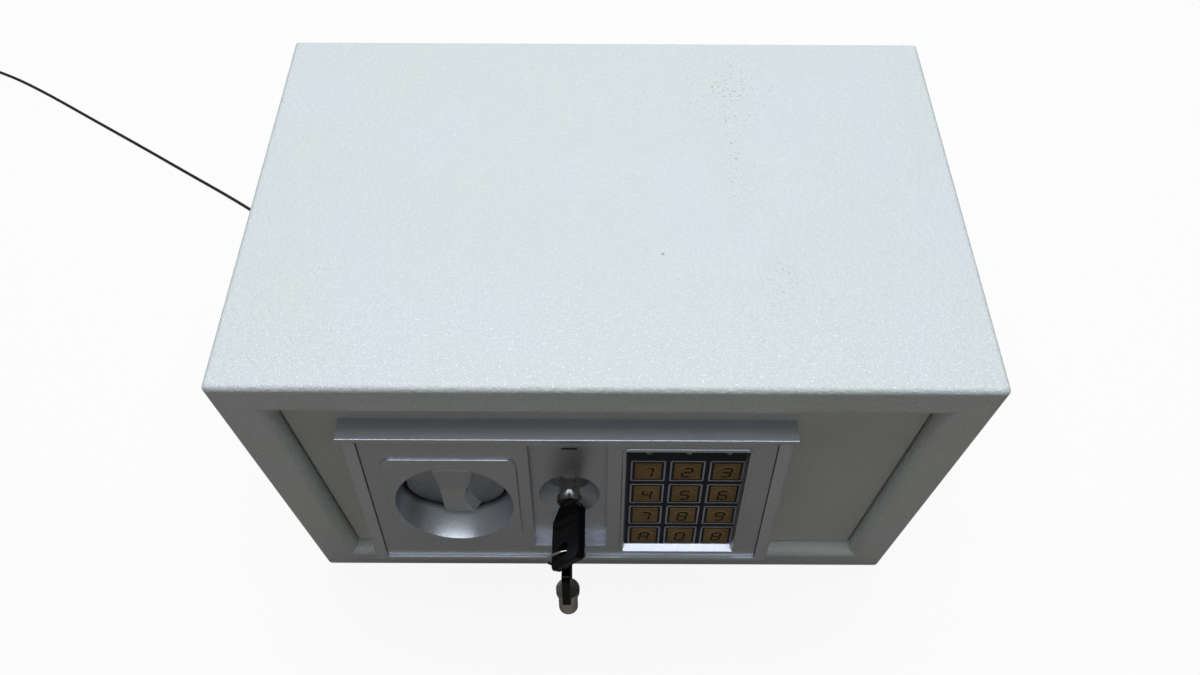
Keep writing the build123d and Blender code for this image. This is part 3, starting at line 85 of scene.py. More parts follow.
def patches(tree, place, form, edges, newLow=0.0, newHigh=1.0):
    # noise whose form is its scale, detail and roughness, cut off at two edges
    return remap(tree, noise(tree, place, *form), *edges, newLow, newHigh)


def combine(tree, kind, first, second):
    # a Math node on two values, either of which may be a plain number
    node = tree.nodes.new("ShaderNodeMath")
    node.operation = kind
    for socket, value in zip(node.inputs, (first, second)):
        if isinstance(value, (int, float)):
            socket.default_value = value
        else:
            tree.links.new(value, socket)
    return node.outputs["Value"]


def square(tree, value):
    return combine(tree, "MULTIPLY", value, value)


def parts(tree, vector):
    # the x, y and z of a vector
    node = tree.nodes.new("ShaderNodeSeparateXYZ")
    tree.links.new(vector, node.inputs["Vector"])
    return node.outputs["X"], node.outputs["Y"], node.outputs["Z"]


def blendColours(tree, amount, first, second):
    # first where the amount is 0 and second where it is 1
    node = tree.nodes.new("ShaderNodeMix")
    node.data_type = "RGBA"
    tree.links.new(amount, node.inputs["Factor"])
    for socket, colour in ((node.inputs["A"], first), (node.inputs["B"], second)):
        if isinstance(colour, tuple):
            socket.default_value = (*colour, 1.0)
        else:
            tree.links.new(colour, socket)
    return node.outputs["Result"]


def scaled(colour, share):
    return tuple(min(value * share, 1.0) for value in colour)


def bump(tree, height, distance, strength=1.0, under=None):
    node = tree.nodes.new("ShaderNodeBump")
    node.inputs["Distance"].default_value = distance
    node.inputs["Strength"].default_value = strength
    tree.links.new(height, node.inputs["Height"])
    if under is not None:
        tree.links.new(under, node.inputs["Normal"])
    return node.outputs["Normal"]


def nearPoint(tree, place, centre, reach):
    # 1 at a point of the object, falling to 0 at the reach along each axis
    shift = tree.nodes.new("ShaderNodeVectorMath")
    shift.operation = "SUBTRACT"
    shift.inputs[1].default_value = centre
    tree.links.new(place, shift.inputs[0])
    shrink = tree.nodes.new("ShaderNodeVectorMath")
    shrink.operation = "DIVIDE"
    shrink.inputs[1].default_value = reach
    tree.links.new(shift.outputs["Vector"], shrink.inputs[0])
    length = tree.nodes.new("ShaderNodeVectorMath")
    length.operation = "LENGTH"
    tree.links.new(shrink.outputs["Vector"], length.inputs[0])
    return remap(tree, length.outputs["Value"], 0.0, 1.0, 1.0, 0.0)


# finishes of the safe; a noise is given as its scale, detail and roughness, and its edges are
# the two values that it is cut off at

powderCoat = dict(
    roughness=0.38,
    roughnessSpread=(-0.07, 0.08),
    mottle=(22.0, 3.0),
    mottleEdges=(0.38, 0.62),
    grain=(1500.0, 2.0, 0.6),
    grainDepth=0.00030,
    pitEdges=(0.30, 0.42),
    wave=(420.0, 3.0, 0.55),
    waveDepth=0.00050,
    waveEdges=(0.3, 0.7),
    glintFleck=(1150.0, 1.0, 0.6),  # bright grains on the top face, painted glints of light
    glintFleckEdges=(0.63, 0.68),
    glintFade=(-0.020, -0.096),  # the painted glints crowd from here towards the front edge
    glintLeast=0.1,
    glintColour=(0.97, 0.98, 0.99),
    speck=(620.0, 2.0, 0.65),
    speckEdges=(0.60, 0.66),
    speckShare=0.75,
    speckColour=(0.30, 0.30, 0.30),
    scuffs=(  # where on the top face the dark specks are, and how far they spread
        ((0.058, 0.066, 0.2), (0.030, 0.034, 0.02)),
        ((0.058, 0.020, 0.2), (0.007, 0.045, 0.02)),
        ((0.072, -0.048, 0.2), (0.012, 0.020, 0.02)),
    ),
    dot=((0.0237, -0.0331, 0.2), (0.0011, 0.0011, 0.003)),
    dotEdges=(0.2, 0.6),
    dotShare=0.8,
)


def makePowderCoat(name, colour, shade, withMarks=False):
    # pale powder coat: fine sandy grain over a soft orange peel, with the top face's marks and its painted
    # glints
    finish, tree, shader, place = newFinish(name)
    mottle = patches(tree, place, powderCoat["mottle"], powderCoat["mottleEdges"])
    grain = noise(tree, place, *powderCoat["grain"])
    wave = noise(tree, place, *powderCoat["wave"])
    pits = remap(tree, grain, *powderCoat["pitEdges"])
    tint = blendColours(tree, pits, shade, blendColours(tree, mottle, colour, shade))
    if withMarks:
        # painted highlight: the bright grains are few over the top face and crowd towards its front edge as
        # glints of light
        away = parts(tree, place)[1]
        nearFront = remap(tree, away, *powderCoat["glintFade"], powderCoat["glintLeast"], 1.0)
        glintFlecks = patches(tree, place, powderCoat["glintFleck"], powderCoat["glintFleckEdges"])
        glintFlecks = combine(tree, "MULTIPLY", glintFlecks, nearFront)
        tint = blendColours(tree, glintFlecks, tint, powderCoat["glintColour"])
        specks = patches(tree, place, powderCoat["speck"], powderCoat["speckEdges"])
        for centre, reach in powderCoat["scuffs"]:
            marks = combine(tree, "MULTIPLY", specks, nearPoint(tree, place, centre, reach))
            marks = combine(tree, "MULTIPLY", marks, powderCoat["speckShare"])
            tint = blendColours(tree, marks, tint, powderCoat["speckColour"])
        dot = remap(tree, nearPoint(tree, place, *powderCoat["dot"]), *powderCoat["dotEdges"])
        dot = combine(tree, "MULTIPLY", dot, powderCoat["dotShare"])
        tint = blendColours(tree, dot, tint, powderCoat["speckColour"])
    tree.links.new(tint, shader.inputs["Base Color"])
    low, high = (powderCoat["roughness"] + spread for spread in powderCoat["roughnessSpread"])
    tree.links.new(remap(tree, wave, *powderCoat["waveEdges"], low, high), shader.inputs["Roughness"])
    peel = bump(tree, wave, powderCoat["waveDepth"])
    tree.links.new(bump(tree, grain, powderCoat["grainDepth"], under=peel), shader.inputs["Normal"])
    return finish


bowl = dict(  # the hollow round the knob, whose wall is dished a little along its depth
    axis=(-0.0675, 0.1184),  # the knob's axis, across and up
    floorRadius=0.0224,
    floorPlace=-0.1002,
    slope=0.39,  # how fast the wall widens towards the front
    wallEdges=(0.0005, 0.0008),  # how far from the cone a point still counts as its wall
    dishDepth=0.0108,  # where the dish is deepest, forward of the floor
    dishCurve=20.0,  # one over the dish's radius in metres
    paintedShade=(0.0009, 0.0019),  # painted shade: beyond the foot, where the wall goes out of sight behind the disc, the wall is darkened
    paintedShadeShare=0.9,
    paintedShadeColour=(0.01, 0.01, 0.012),
)


def bowlWall(tree, place):
    # distance forward of the bowl's floor, distance beyond its foot, and 1 on its wall
    across, away, up = parts(tree, place)
    forward = combine(tree, "SUBTRACT", bowl["floorPlace"], away)
    sideways = combine(tree, "SUBTRACT", across, bowl["axis"][0])
    upwards = combine(tree, "SUBTRACT", up, bowl["axis"][1])
    squares = combine(tree, "ADD", square(tree, sideways), square(tree, upwards))
    beyond = combine(tree, "SUBTRACT", combine(tree, "POWER", squares, 0.5), bowl["floorRadius"])
    off = combine(tree, "SUBTRACT", beyond, combine(tree, "MULTIPLY", forward, bowl["slope"]))
    off = combine(tree, "POWER", square(tree, off), 0.5)
    return forward, beyond, remap(tree, off, *bowl["wallEdges"], 1.0, 0.0)


silverPaint = dict(
    metallic=0.93,
    flake=(2600.0, 2.0, 0.7),
    flakeEdges=(0.52, 0.70),
    flakeShare=0.55,
    flakeDepth=0.00002,
    flakeStrength=0.5,
    glint=0.12,  # how much smoother a flake is than the paint round it
    cloud=(60.0, 3.0),
    cloudEdges=(0.3, 0.7),
    cloudShare=0.12,
)


def makeSilverPaint(name, colour, flake, roughness, withBowl=False):
    # metallic paint on moulded plastic: bright flakes in a grey base
    finish, tree, shader, place = newFinish(name)
    flakes = patches(tree, place, silverPaint["flake"], silverPaint["flakeEdges"])
    cloud = patches(tree, place, silverPaint["cloud"], silverPaint["cloudEdges"],
                    0.0, silverPaint["cloudShare"])
    amount = combine(tree, "ADD", combine(tree, "MULTIPLY", flakes, silverPaint["flakeShare"]), cloud)
    tint = blendColours(tree, amount, colour, flake)
    grain = bump(tree, flakes, silverPaint["flakeDepth"], silverPaint["flakeStrength"])
    if withBowl:
        forward, beyond, onWall = bowlWall(tree, place)
        # painted shade: the wall is darkened just beyond its foot, standing for the shadow in the gap between
        # the disc and the bowl
        paintedShade = combine(tree, "MULTIPLY", onWall, remap(tree, beyond, *bowl["paintedShade"], bowl["paintedShadeShare"], 0.0))
        tint = blendColours(tree, paintedShade, tint, bowl["paintedShadeColour"])
        # the dish is half its curvature times the square of the distance from its deepest place
        fromDeepest = combine(tree, "SUBTRACT", forward, bowl["dishDepth"])
        dish = combine(tree, "MULTIPLY", square(tree, fromDeepest), bowl["dishCurve"] / 2)
        grain = bump(tree, dish, 1.0, under=grain)
        tree.links.new(onWall, grain.node.inputs["Strength"])
    tree.links.new(tint, shader.inputs["Base Color"])
    shader.inputs["Metallic"].default_value = silverPaint["metallic"]
    gloss = remap(tree, flakes, 0.0, 1.0, roughness, roughness - silverPaint["glint"])
    tree.links.new(gloss, shader.inputs["Roughness"])
    tree.links.new(grain, shader.inputs["Normal"])
    return finish


metal = dict(
    cloud=(140.0, 4.0, 0.6),
    tintEdges=(0.35, 0.7),
    darkShare=0.82,
    smearEdges=(0.3, 0.7),
    smear=0.05,
    leastRoughness=0.02,
    lines=(2.0, 0.6),  # their detail and roughness
    lineDepth=0.00003,
    lineStrength=0.6,
)


def makeMetal(name, colour, roughness, lineScale=0.0, stretch=(1, 1, 1)):
    # plated or polished metal with a faint smear, and brush lines where it has them
    finish, tree, shader, place = newFinish(name)
    cloud = noise(tree, place, *metal["cloud"])
    dark = scaled(colour, metal["darkShare"])
    tint = blendColours(tree, remap(tree, cloud, *metal["tintEdges"]), colour, dark)
    tree.links.new(tint, shader.inputs["Base Color"])
    shader.inputs["Metallic"].default_value = 1.0
    low, high = max(roughness - metal["smear"], metal["leastRoughness"]), roughness + metal["smear"]
    tree.links.new(remap(tree, cloud, *metal["smearEdges"], low, high), shader.inputs["Roughness"])
    if lineScale:
        lines = noise(tree, place, lineScale, *metal["lines"], stretch)
        tree.links.new(bump(tree, lines, metal["lineDepth"], metal["lineStrength"]), shader.inputs["Normal"])
    return finish


plastic = dict(
    cloud=(90.0, 3.0),
    tintEdges=(0.35, 0.65),
    darkShare=0.8,
    smearEdges=(0.3, 0.7),
    smear=0.05,
    leastRoughness=0.03,
    grainDetail=2.0,
)


def makePlastic(name, colour, roughness, grainScale=1800.0, grainDepth=0.00002, gloss=0.5):
    # moulded plastic: its colour varies a little and its surface has a fine grain
    finish, tree, shader, place = newFinish(name)
    cloud = noise(tree, place, *plastic["cloud"])
    dark = scaled(colour, plastic["darkShare"])
    tint = blendColours(tree, remap(tree, cloud, *plastic["tintEdges"]), colour, dark)
    tree.links.new(tint, shader.inputs["Base Color"])
    low, high = max(roughness - plastic["smear"], plastic["leastRoughness"]), roughness + plastic["smear"]
    tree.links.new(remap(tree, cloud, *plastic["smearEdges"], low, high), shader.inputs["Roughness"])
    shader.inputs["Specular IOR Level"].default_value = gloss
    grain = noise(tree, place, grainScale, plastic["grainDetail"])
    tree.links.new(bump(tree, grain, grainDepth), shader.inputs["Normal"])
    return finish


felt = dict(
    fibres=(900.0, 4.0, 0.7),
    directions=((1, 0.25, 1), (0.25, 1, 1)),
    edges=(0.75, 1.25),
    lightShare=2.2,
    depth=0.0006,
    roughness=0.95,
    sheen=0.3,
)


def makeFelt(name, colour):
    # needle felt: matted fibres in two directions
    finish, tree, shader, place = newFinish(name)
    fibres = combine(tree, "ADD", *(noise(tree, place, *felt["fibres"], stretch)
                                    for stretch in felt["directions"]))
    light = scaled(colour, felt["lightShare"])
    tree.links.new(blendColours(tree, remap(tree, fibres, *felt["edges"]), colour, light),
                   shader.inputs["Base Color"])
    shader.inputs["Roughness"].default_value = felt["roughness"]
    shader.inputs["Sheen Weight"].default_value = felt["sheen"]
    tree.links.new(bump(tree, fibres, felt["depth"]), shader.inputs["Normal"])
    return finish


board = dict(
    trackScale=90.0,
    trackWidth=0.03,
    mask=(0.02, 0.12, 0.05),
    maskShade=(0.02, 0.13, 0.055),
    track=(0.05, 0.22, 0.09),
    roughness=0.3,
)


def makeBoard(name):
    # green solder mask with faint copper tracks under it
    finish, tree, shader, place = newFinish(name)
    tracks = tree.nodes.new("ShaderNodeTexBrick")
    tracks.inputs["Scale"].default_value = board["trackScale"]
    tracks.inputs["Mortar Size"].default_value = board["trackWidth"]
    for socket, colour in (("Color1", "mask"), ("Color2", "maskShade"), ("Mortar", "track")):
        tracks.inputs[socket].default_value = (*board[colour], 1)
    tree.links.new(place, tracks.inputs["Vector"])
    tree.links.new(tracks.outputs["Color"], shader.inputs["Base Color"])
    shader.inputs["Roughness"].default_value = board["roughness"]
    return finish


lens = dict(
    glow=(400.0, 1.0),
    glowEdges=(0.3, 0.7),
    dark=(0.20, 0.22, 0.21),
    light=(0.30, 0.32, 0.30),
    roughness=0.12,
    coat=0.6,
)


def makeLens(name):
    # dark clear plastic over an unlit lamp
    finish, tree, shader, place = newFinish(name)
    glow = patches(tree, place, lens["glow"], lens["glowEdges"])
    tree.links.new(blendColours(tree, glow, lens["dark"], lens["light"]), shader.inputs["Base Color"])
    shader.inputs["Roughness"].default_value = lens["roughness"]
    shader.inputs["Coat Weight"].default_value = lens["coat"]
    return finish


cells = dict(
    bandStart=(0.0695, 0.0700),
    wrapColour=(0.03, 0.035, 0.045),
    bandColour=(0.50, 0.33, 0.12),
    metallic=0.6,
    roughness=0.3,
    grain=(1200.0, 1.0),
    grainDepth=0.00001,
)


def makeCells(name):
    # plain battery wraps: dark with a gold band at one end of each cell
    finish, tree, shader, place = newFinish(name)
    band = remap(tree, parts(tree, place)[0], *cells["bandStart"])
    tint = blendColours(tree, band, cells["wrapColour"], cells["bandColour"])
    tree.links.new(tint, shader.inputs["Base Color"])
    shader.inputs["Metallic"].default_value = cells["metallic"]
    shader.inputs["Roughness"].default_value = cells["roughness"]
    grain = noise(tree, place, *cells["grain"])
    tree.links.new(bump(tree, grain, cells["grainDepth"]), shader.inputs["Normal"])
    return finish


# each finish: its colour, or its base and its flakes, and its roughness
greyCoat = makePowderCoat("paleCoat", (0.683, 0.724, 0.744), (0.678, 0.729, 0.712), withMarks=True)
innerCoat = makePowderCoat("doorCoat", (0.70, 0.72, 0.705), (0.67, 0.69, 0.68))
panelPaint = makeSilverPaint("panelPaint", (0.52, 0.55, 0.60), (0.74, 0.78, 0.88), 0.33, withBowl=True)
# painted light: the housing's paint is a lighter copy of the panel's silver paint, for the lit look of its
# visor
litHousingPaint = makeSilverPaint("litHousingPaint", (0.61, 0.64, 0.70), (0.86, 0.90, 1.00), 0.34)
# painted shade and painted light: the knob's disc has a darker copy and its grip a lighter copy of the
# panel's silver paint
shadedKnobPaint = makeSilverPaint("shadedKnobPaint", (0.40, 0.42, 0.46), (0.62, 0.66, 0.74), 0.30)
litGripPaint = makeSilverPaint("litGripPaint", (0.64, 0.66, 0.68), (0.84, 0.86, 0.90), 0.30)
zincPlate = makeMetal("zincPlate", (0.62, 0.63, 0.64), 0.36, lineScale=900.0, stretch=(1, 1, 0.1))
chromePlate = makeMetal("chromePlate", (0.66, 0.65, 0.63), 0.10)
boltSteel = makeMetal("boltSteel", (0.70, 0.70, 0.71), 0.22, lineScale=1600.0, stretch=(0.1, 1, 1))
ringSteel = makeMetal("ringSteel", (0.66, 0.66, 0.66), 0.16)
turnedBrass = makeMetal("turnedBrass", (0.74, 0.55, 0.25), 0.3, lineScale=1500.0, stretch=(1, 0.1, 1))
blackGloss = makePlastic("blackGloss", (0.002, 0.002, 0.003), 0.14, gloss=0.12)
blackMatt = makePlastic("blackMatt", (0.022, 0.022, 0.024), 0.5, grainScale=1200.0, grainDepth=0.00004)
keypadBlack = makePlastic("keypadBlack", (0.008, 0.013, 0.028), 0.22, gloss=0.2)
capGold = makePlastic("capGold", (0.225, 0.138, 0.052), 0.42, grainScale=2200.0, gloss=0.2)
redPlastic = makePlastic("redPlastic", (0.45, 0.03, 0.025), 0.35)
matRubber = makePlastic("matRubber", (0.16, 0.16, 0.17), 0.7)
greyFelt = makeFelt("greyFelt", (0.018, 0.018, 0.020))
greenBoard = makeBoard("greenBoard")
lampLens = makeLens("lampLens")
cellWrap = makeCells("cellWrap")
leadSkin = makePlastic("leadSkin", (0.012, 0.012, 0.013), 0.42, grainScale=1500.0, grainDepth=0.00003)
printGrey = makePlastic("printGrey", (0.40, 0.40, 0.43), 0.45, gloss=0.2)
printDark = makePlastic("printDark", (0.006, 0.005, 0.004), 0.6, gloss=0.1)
# painted highlight: the caps' arcs are coloured lighter than the caps, standing for light on the raised
# mark's edge
capArcHighlight = makePlastic("capArcHighlight", (0.34, 0.23, 0.11), 0.30)

keySigns = "123456789a0b"  # row by row
nodeFinish = {
    greyCoat: ["cabinet_shell", "rear_panel"],
    innerCoat: ["door_plate", "inner_cover", "door_stops", "hinge_brackets", "hinge_lugs"],
    zincPlate: ["hinge_pins", "hinge_washer", "panel_screws", "cover_screws", "cover_posts",
                "knob_shaft", "crank", "bolt_carrier", "guide_studs", "solenoid", "solenoid_plunger",
                "lock_nut", "lock_cam", "cam_nut"],
    chromePlate: ["lock_body", "lock_rotor", "key_barrel", "spare_key_barrel"],
    ringSteel: ["key_ring"],
    boltSteel: ["locking_bolts"],
    turnedBrass: ["knob_bushing"],
    litHousingPaint: ["panel_housing"],
    panelPaint: ["panel_faceplate"],
    shadedKnobPaint: ["knob"],
    keypadBlack: ["keypad_plate"],
    blackGloss: ["key_head", "spare_key_head"],
    blackMatt: ["battery_box", "battery_cover", "reset_switch", "cord_grommet", "lead_plug"],
    redPlastic: ["reset_button"],
    lampLens: ["indicator_lenses"],
    matRubber: ["contact_mat"],
    greyFelt: ["floor_mat"],
    greenBoard: ["control_board"],
    cellWrap: ["batteries"],
    capGold: ["button_" + sign for sign in keySigns],
}
for finish, names in nodeFinish.items():
    for name in names:
        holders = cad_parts[name].material_slots
        for holder in holders:
            holder.material = finish
        if not holders:
            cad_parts[name].data.materials.append(finish)
print("finishes set on", sum(len(names) for names in nodeFinish.values()), "nodes")


# surfaces worked out on a grid

def gridMesh(name, points, closedAcross=False):
    # points is rows x columns x 3; each cell of the grid becomes one face
    rows, columns = points.shape[:2]
    index = np.arange(rows * columns).reshape(rows, columns)
    if closedAcross:
        index = np.hstack([index, index[:, :1]])
    corners = [index[:-1, :-1], index[:-1, 1:], index[1:, 1:], index[1:, :-1]]
    faces = np.stack(corners, axis=-1).reshape(-1, 4)
    mesh = bpy.data.meshes.new(name)
    mesh.from_pydata(points.reshape(-1, 3).tolist(), [], faces.tolist())
    return mesh


def joinMeshes(name, meshes):
    # one mesh from several, with their faces as they are
    points, faces, start = [], [], 0
    for mesh in meshes:
        coords = np.empty(len(mesh.vertices) * 3)
        mesh.vertices.foreach_get("co", coords)
        points.append(coords.reshape(-1, 3))
        faces += [[start + corner for corner in face.vertices] for face in mesh.polygons]
        start += len(mesh.vertices)
        bpy.data.meshes.remove(mesh)
    joined = bpy.data.meshes.new(name)
    joined.from_pydata(np.vstack(points).tolist(), [], faces)
    return joined


def addObject(name, data):
    added = bpy.data.objects.new(name, data)
    bpy.context.scene.collection.objects.link(added)
    return added


def addPiece(name, mesh, finish, body, smooth=True):
    piece = addObject(name, mesh)
    mesh.materials.append(finish)
    mesh.polygons.foreach_set("use_smooth", [smooth] * len(mesh.polygons))
    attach(piece, body)
    return piece


# print and fine trim on the tilted control panel

panel = dict(
    tilt=math.radians(12),
    topEdge=(-0.016, -0.101, 0.163),  # middle of the face's top edge
    plateDepth=0.0034,  # the keypad plate's face under the panel's
    capProud=0.0003,  # the caps' faces over the plate's
)


def onPanel(across, slope, depth):
    # a point of the tilted face: across to the right, slope up along it and depth under it
    across, slope, depth = np.broadcast_arrays(across, slope, depth)
    x0, y0, z0 = panel["topEdge"]
    s, c = math.sin(panel["tilt"]), math.cos(panel["tilt"])
    return np.stack([x0 + across, y0 + slope * s + depth * c, z0 + slope * c - depth * s], axis=-1)


ribbonSection = dict(
    across=(-0.5, -0.38, 0.38, 0.5),  # in widths
    lift=(0.0, 1.0, 1.0, 0.0),  # in heights
)


def ribbon(name, across, slope, width, depth, height):
    # a flat line: its section is a low trapezium carried square to the path
    path = np.stack([across, slope], axis=-1)
    ahead = np.gradient(path, axis=0)
    ahead /= np.linalg.norm(ahead, axis=1, keepdims=True)
    side = np.stack([-ahead[:, 1], ahead[:, 0]], axis=-1)
    offsets = np.array(ribbonSection["across"]) * width
    lift = np.array(ribbonSection["lift"]) * height
    spread = path[:, None, :] + side[:, None, :] * offsets[None, :, None]
    return gridMesh(name, onPanel(spread[..., 0], spread[..., 1], depth - lift[None, :]))


keypad = dict(
    centre=0.05185,  # middle column, across from the middle of the panel
    firstRow=-0.0263,
    pitch=(0.01715, 0.01688),
)


def capCentre(index):
    row, column = divmod(index, 3)
    return keypad["centre"] + (column - 1) * keypad["pitch"][0], keypad["firstRow"] - row * keypad["pitch"][1]


signForm = dict(
    size=(0.0038, 0.0062),
    slant=0.16,
    drop=0.0006,  # below the middle of the key
    reach=(0.09, 0.91),  # how much of the way between its ends a stroke covers
    points=5,
    width=0.00078,
    height=0.00005,
)
segments = {  # the strokes of each sign, from the usual seven and a short top for the one
    "1": "hbc", "2": "abged", "3": "abgcd", "4": "fgbc", "5": "afgcd", "6": "afgedc",
    "7": "abc", "8": "abcdefg", "9": "abcdfg", "0": "abcdef", "a": "abcefg", "b": "abcdefg",
}
strokeEnds = {  # in half widths and half heights of a sign
    "a": ((-1, 1), (1, 1)), "b": ((1, 1), (1, 0)), "c": ((1, 0), (1, -1)), "d": ((-1, -1), (1, -1)),
    "e": ((-1, 0), (-1, -1)), "f": ((-1, 1), (-1, 0)), "g": ((-1, 0), (1, 0)), "h": ((-0.1, 1), (1, 1)),
}


def makeSign(name, sign, centre, depth):
    # straight strokes, each shifted to the right by its height times the slant
    along = np.linspace(*signForm["reach"], signForm["points"])[:, None]
    strokes = []
    for stroke in segments[sign]:
        first, last = np.array(strokeEnds[stroke]) * np.array(signForm["size"]) / 2
        points = first * (1 - along) + last * along
        across = centre[0] + points[:, 0] + signForm["slant"] * points[:, 1]
        slope = centre[1] + points[:, 1] - signForm["drop"]
        strokes.append(ribbon("stroke", across, slope, signForm["width"], depth, signForm["height"]))
    return joinMeshes(name, strokes)


arcForm = dict(
    reach=(0.0047, 0.0052),
    drop=0.0016,  # the ellipse's middle below that of the key
    turn=(28, 152),
    points=25,
    width=0.0005,
    height=0.00008,
)


def makeArc(centre, depth):
    # the raised mould mark over each sign: the upper part of an ellipse, coloured lighter than the cap as a
    # painted highlight on its edge
    turn = np.linspace(*np.radians(arcForm["turn"]), arcForm["points"])
    across = centre[0] + arcForm["reach"][0] * np.cos(turn)
    slope = centre[1] - arcForm["drop"] + arcForm["reach"][1] * np.sin(turn)
    return ribbon("arc", across, slope, arcForm["width"], depth, arcForm["height"])


outlineForm = dict(
    size=(0.0144, 0.01386),
    points=3,
    width=0.00075,
    height=0.00003,
)


def makeOutline(centre):
    # the four sides of the printed rectangle round a key, from the top left corner onwards
    corners = np.array([(-1, 1), (1, 1), (1, -1), (-1, -1), (-1, 1)]) * np.array(outlineForm["size"]) / 2
    along = np.linspace(0, 1, outlineForm["points"])[:, None]
    sides = []
    for first, last in zip(corners, corners[1:]):
        across, slope = (np.array(centre) + first + (last - first) * along).T
        sides.append(ribbon("side", across, slope, outlineForm["width"], panel["plateDepth"],
                            outlineForm["height"]))
    return sides


capDepth = panel["plateDepth"] - panel["capProud"]
outlines = []
for index, sign in enumerate(keySigns):
    centre = capCentre(index)
    signMesh = makeSign("sign_" + sign, sign, centre, capDepth)
    addPiece("sign_" + sign, signMesh, printDark, "button_" + sign, smooth=False)
    addPiece("arc_" + sign, makeArc(centre, capDepth), capArcHighlight, "button_" + sign)
    outlines += makeOutline(centre)
outlineMesh = joinMeshes("keypadPrint", outlines)
addPiece("keypadPrint", outlineMesh, printGrey, "door", smooth=False)
print("keypad signs and outlines made")

slotShadeForm = dict(
    ends=(-0.0029, 0.0039),
    points=5,
    slope=-0.0131,
    depth=0.0052,
    width=0.0014,
    height=0.00004,
)
# painted shade: the slot in the lock's recess is one level ribbon of black, a flat sheet for the dark inside
# of the slot
slotShadeAcross = np.linspace(*slotShadeForm["ends"], slotShadeForm["points"])
slotShadeMesh = ribbon("recessSlotShade", slotShadeAcross, np.full_like(slotShadeAcross, slotShadeForm["slope"]), slotShadeForm["width"],
                  slotShadeForm["depth"], slotShadeForm["height"])
addPiece("recessSlotShade", slotShadeMesh, blackMatt, "door", smooth=False)
print("dark slot at the top of the lock's recess made")


# knob: a disc with a low grip, which is dished along its length and scooped on its right side

knobForm = dict(
    discFace=-0.1025,
    discThickness=0.0018,
    rimRound=0.0004,
    hubRadius=0.0070,
    turnSteps=96,
    roundSteps=6,
    endRadius=0.0217,  # the grip's ends follow this circle about the axis
    endRound=0.0010,
    edgeRound=0.0006,
    footDepth=0.0004,  # how far the grip's foot goes into the disc
    saddle=0.0010,  # where the grip's face is lowest, up from the axis
    proud=(0.0016, 0.0044, 0.0023),  # there, at the lower end and at the upper end
    armPowers=(1.25, 1.4),  # of the lower arm and of the upper arm
    leftEdge=(-0.0070, -0.0080),  # at the lower end and at the upper end
    waist=-0.0110,  # where the right edge is nearest to the axis, up from the axis
    waistEdge=0.0029,
    upperWidening=(0.0055, 0.0160),  # how much the edge moves out, and over what height
    lowerWidening=0.0041,
    lowerPower=2.5,
    scoopFoot=(0.0055, 0.0045, 0.0035),  # at the axis, and what the lower and the upper end add
    footPower=1.8,
    leastFlank=0.0006,
    flankPower=0.6,
    rows=60,
    faceColumns=12,
    flankColumns=16,
    mergeReach=0.000002,
    sharpAngle=math.radians(40),
)


def closedMesh(name, meshes):
    # one closed shell from patches that share their borders, with its faces outwards
    mesh = joinMeshes(name, meshes)
    shell = bmesh.new()
    shell.from_mesh(mesh)
    bmesh.ops.remove_doubles(shell, verts=shell.verts, dist=knobForm["mergeReach"])
    bmesh.ops.recalc_face_normals(shell, faces=shell.faces)
    shell.to_mesh(mesh)
    shell.free()
    return mesh


def gripProud(up):
    # two arms of a shallow saddle, each a power of the distance from its lowest place
    low, lowerEnd, upperEnd = knobForm["proud"]
    lowerPower, upperPower = knobForm["armPowers"]
    reach = knobForm["endRadius"]
    below = np.clip((knobForm["saddle"] - up) / (knobForm["saddle"] + reach), 0, 1)
    above = np.clip((up - knobForm["saddle"]) / (reach - knobForm["saddle"]), 0, 1)
    return low + (lowerEnd - low) * below ** lowerPower + (upperEnd - low) * above ** upperPower


def gripEdges(up):
    # left edge straight; right edge a waist that widens as a bell curve above and a power below;
    # right foot a power curve below the axis and a straight line above it
    reach = knobForm["endRadius"]
    left = np.interp(up, (-reach, reach), knobForm["leftEdge"])
    gain, spread = knobForm["upperWidening"]
    upper = gain * (1 - np.exp(-(np.maximum(up - knobForm["waist"], 0) / spread) ** 2))
    lower = np.clip((knobForm["waist"] - up) / (knobForm["waist"] + reach), 0, 1) ** knobForm["lowerPower"]
    right = knobForm["waistEdge"] + upper + knobForm["lowerWidening"] * lower
    start, lowerSpread, upperSpread = knobForm["scoopFoot"]
    foot = start + lowerSpread * np.clip(-up / reach, 0, 1) ** knobForm["footPower"]
    foot = np.maximum(foot, right + knobForm["leastFlank"]) + upperSpread * np.clip(up / reach, 0, 1)
    return left, right, foot


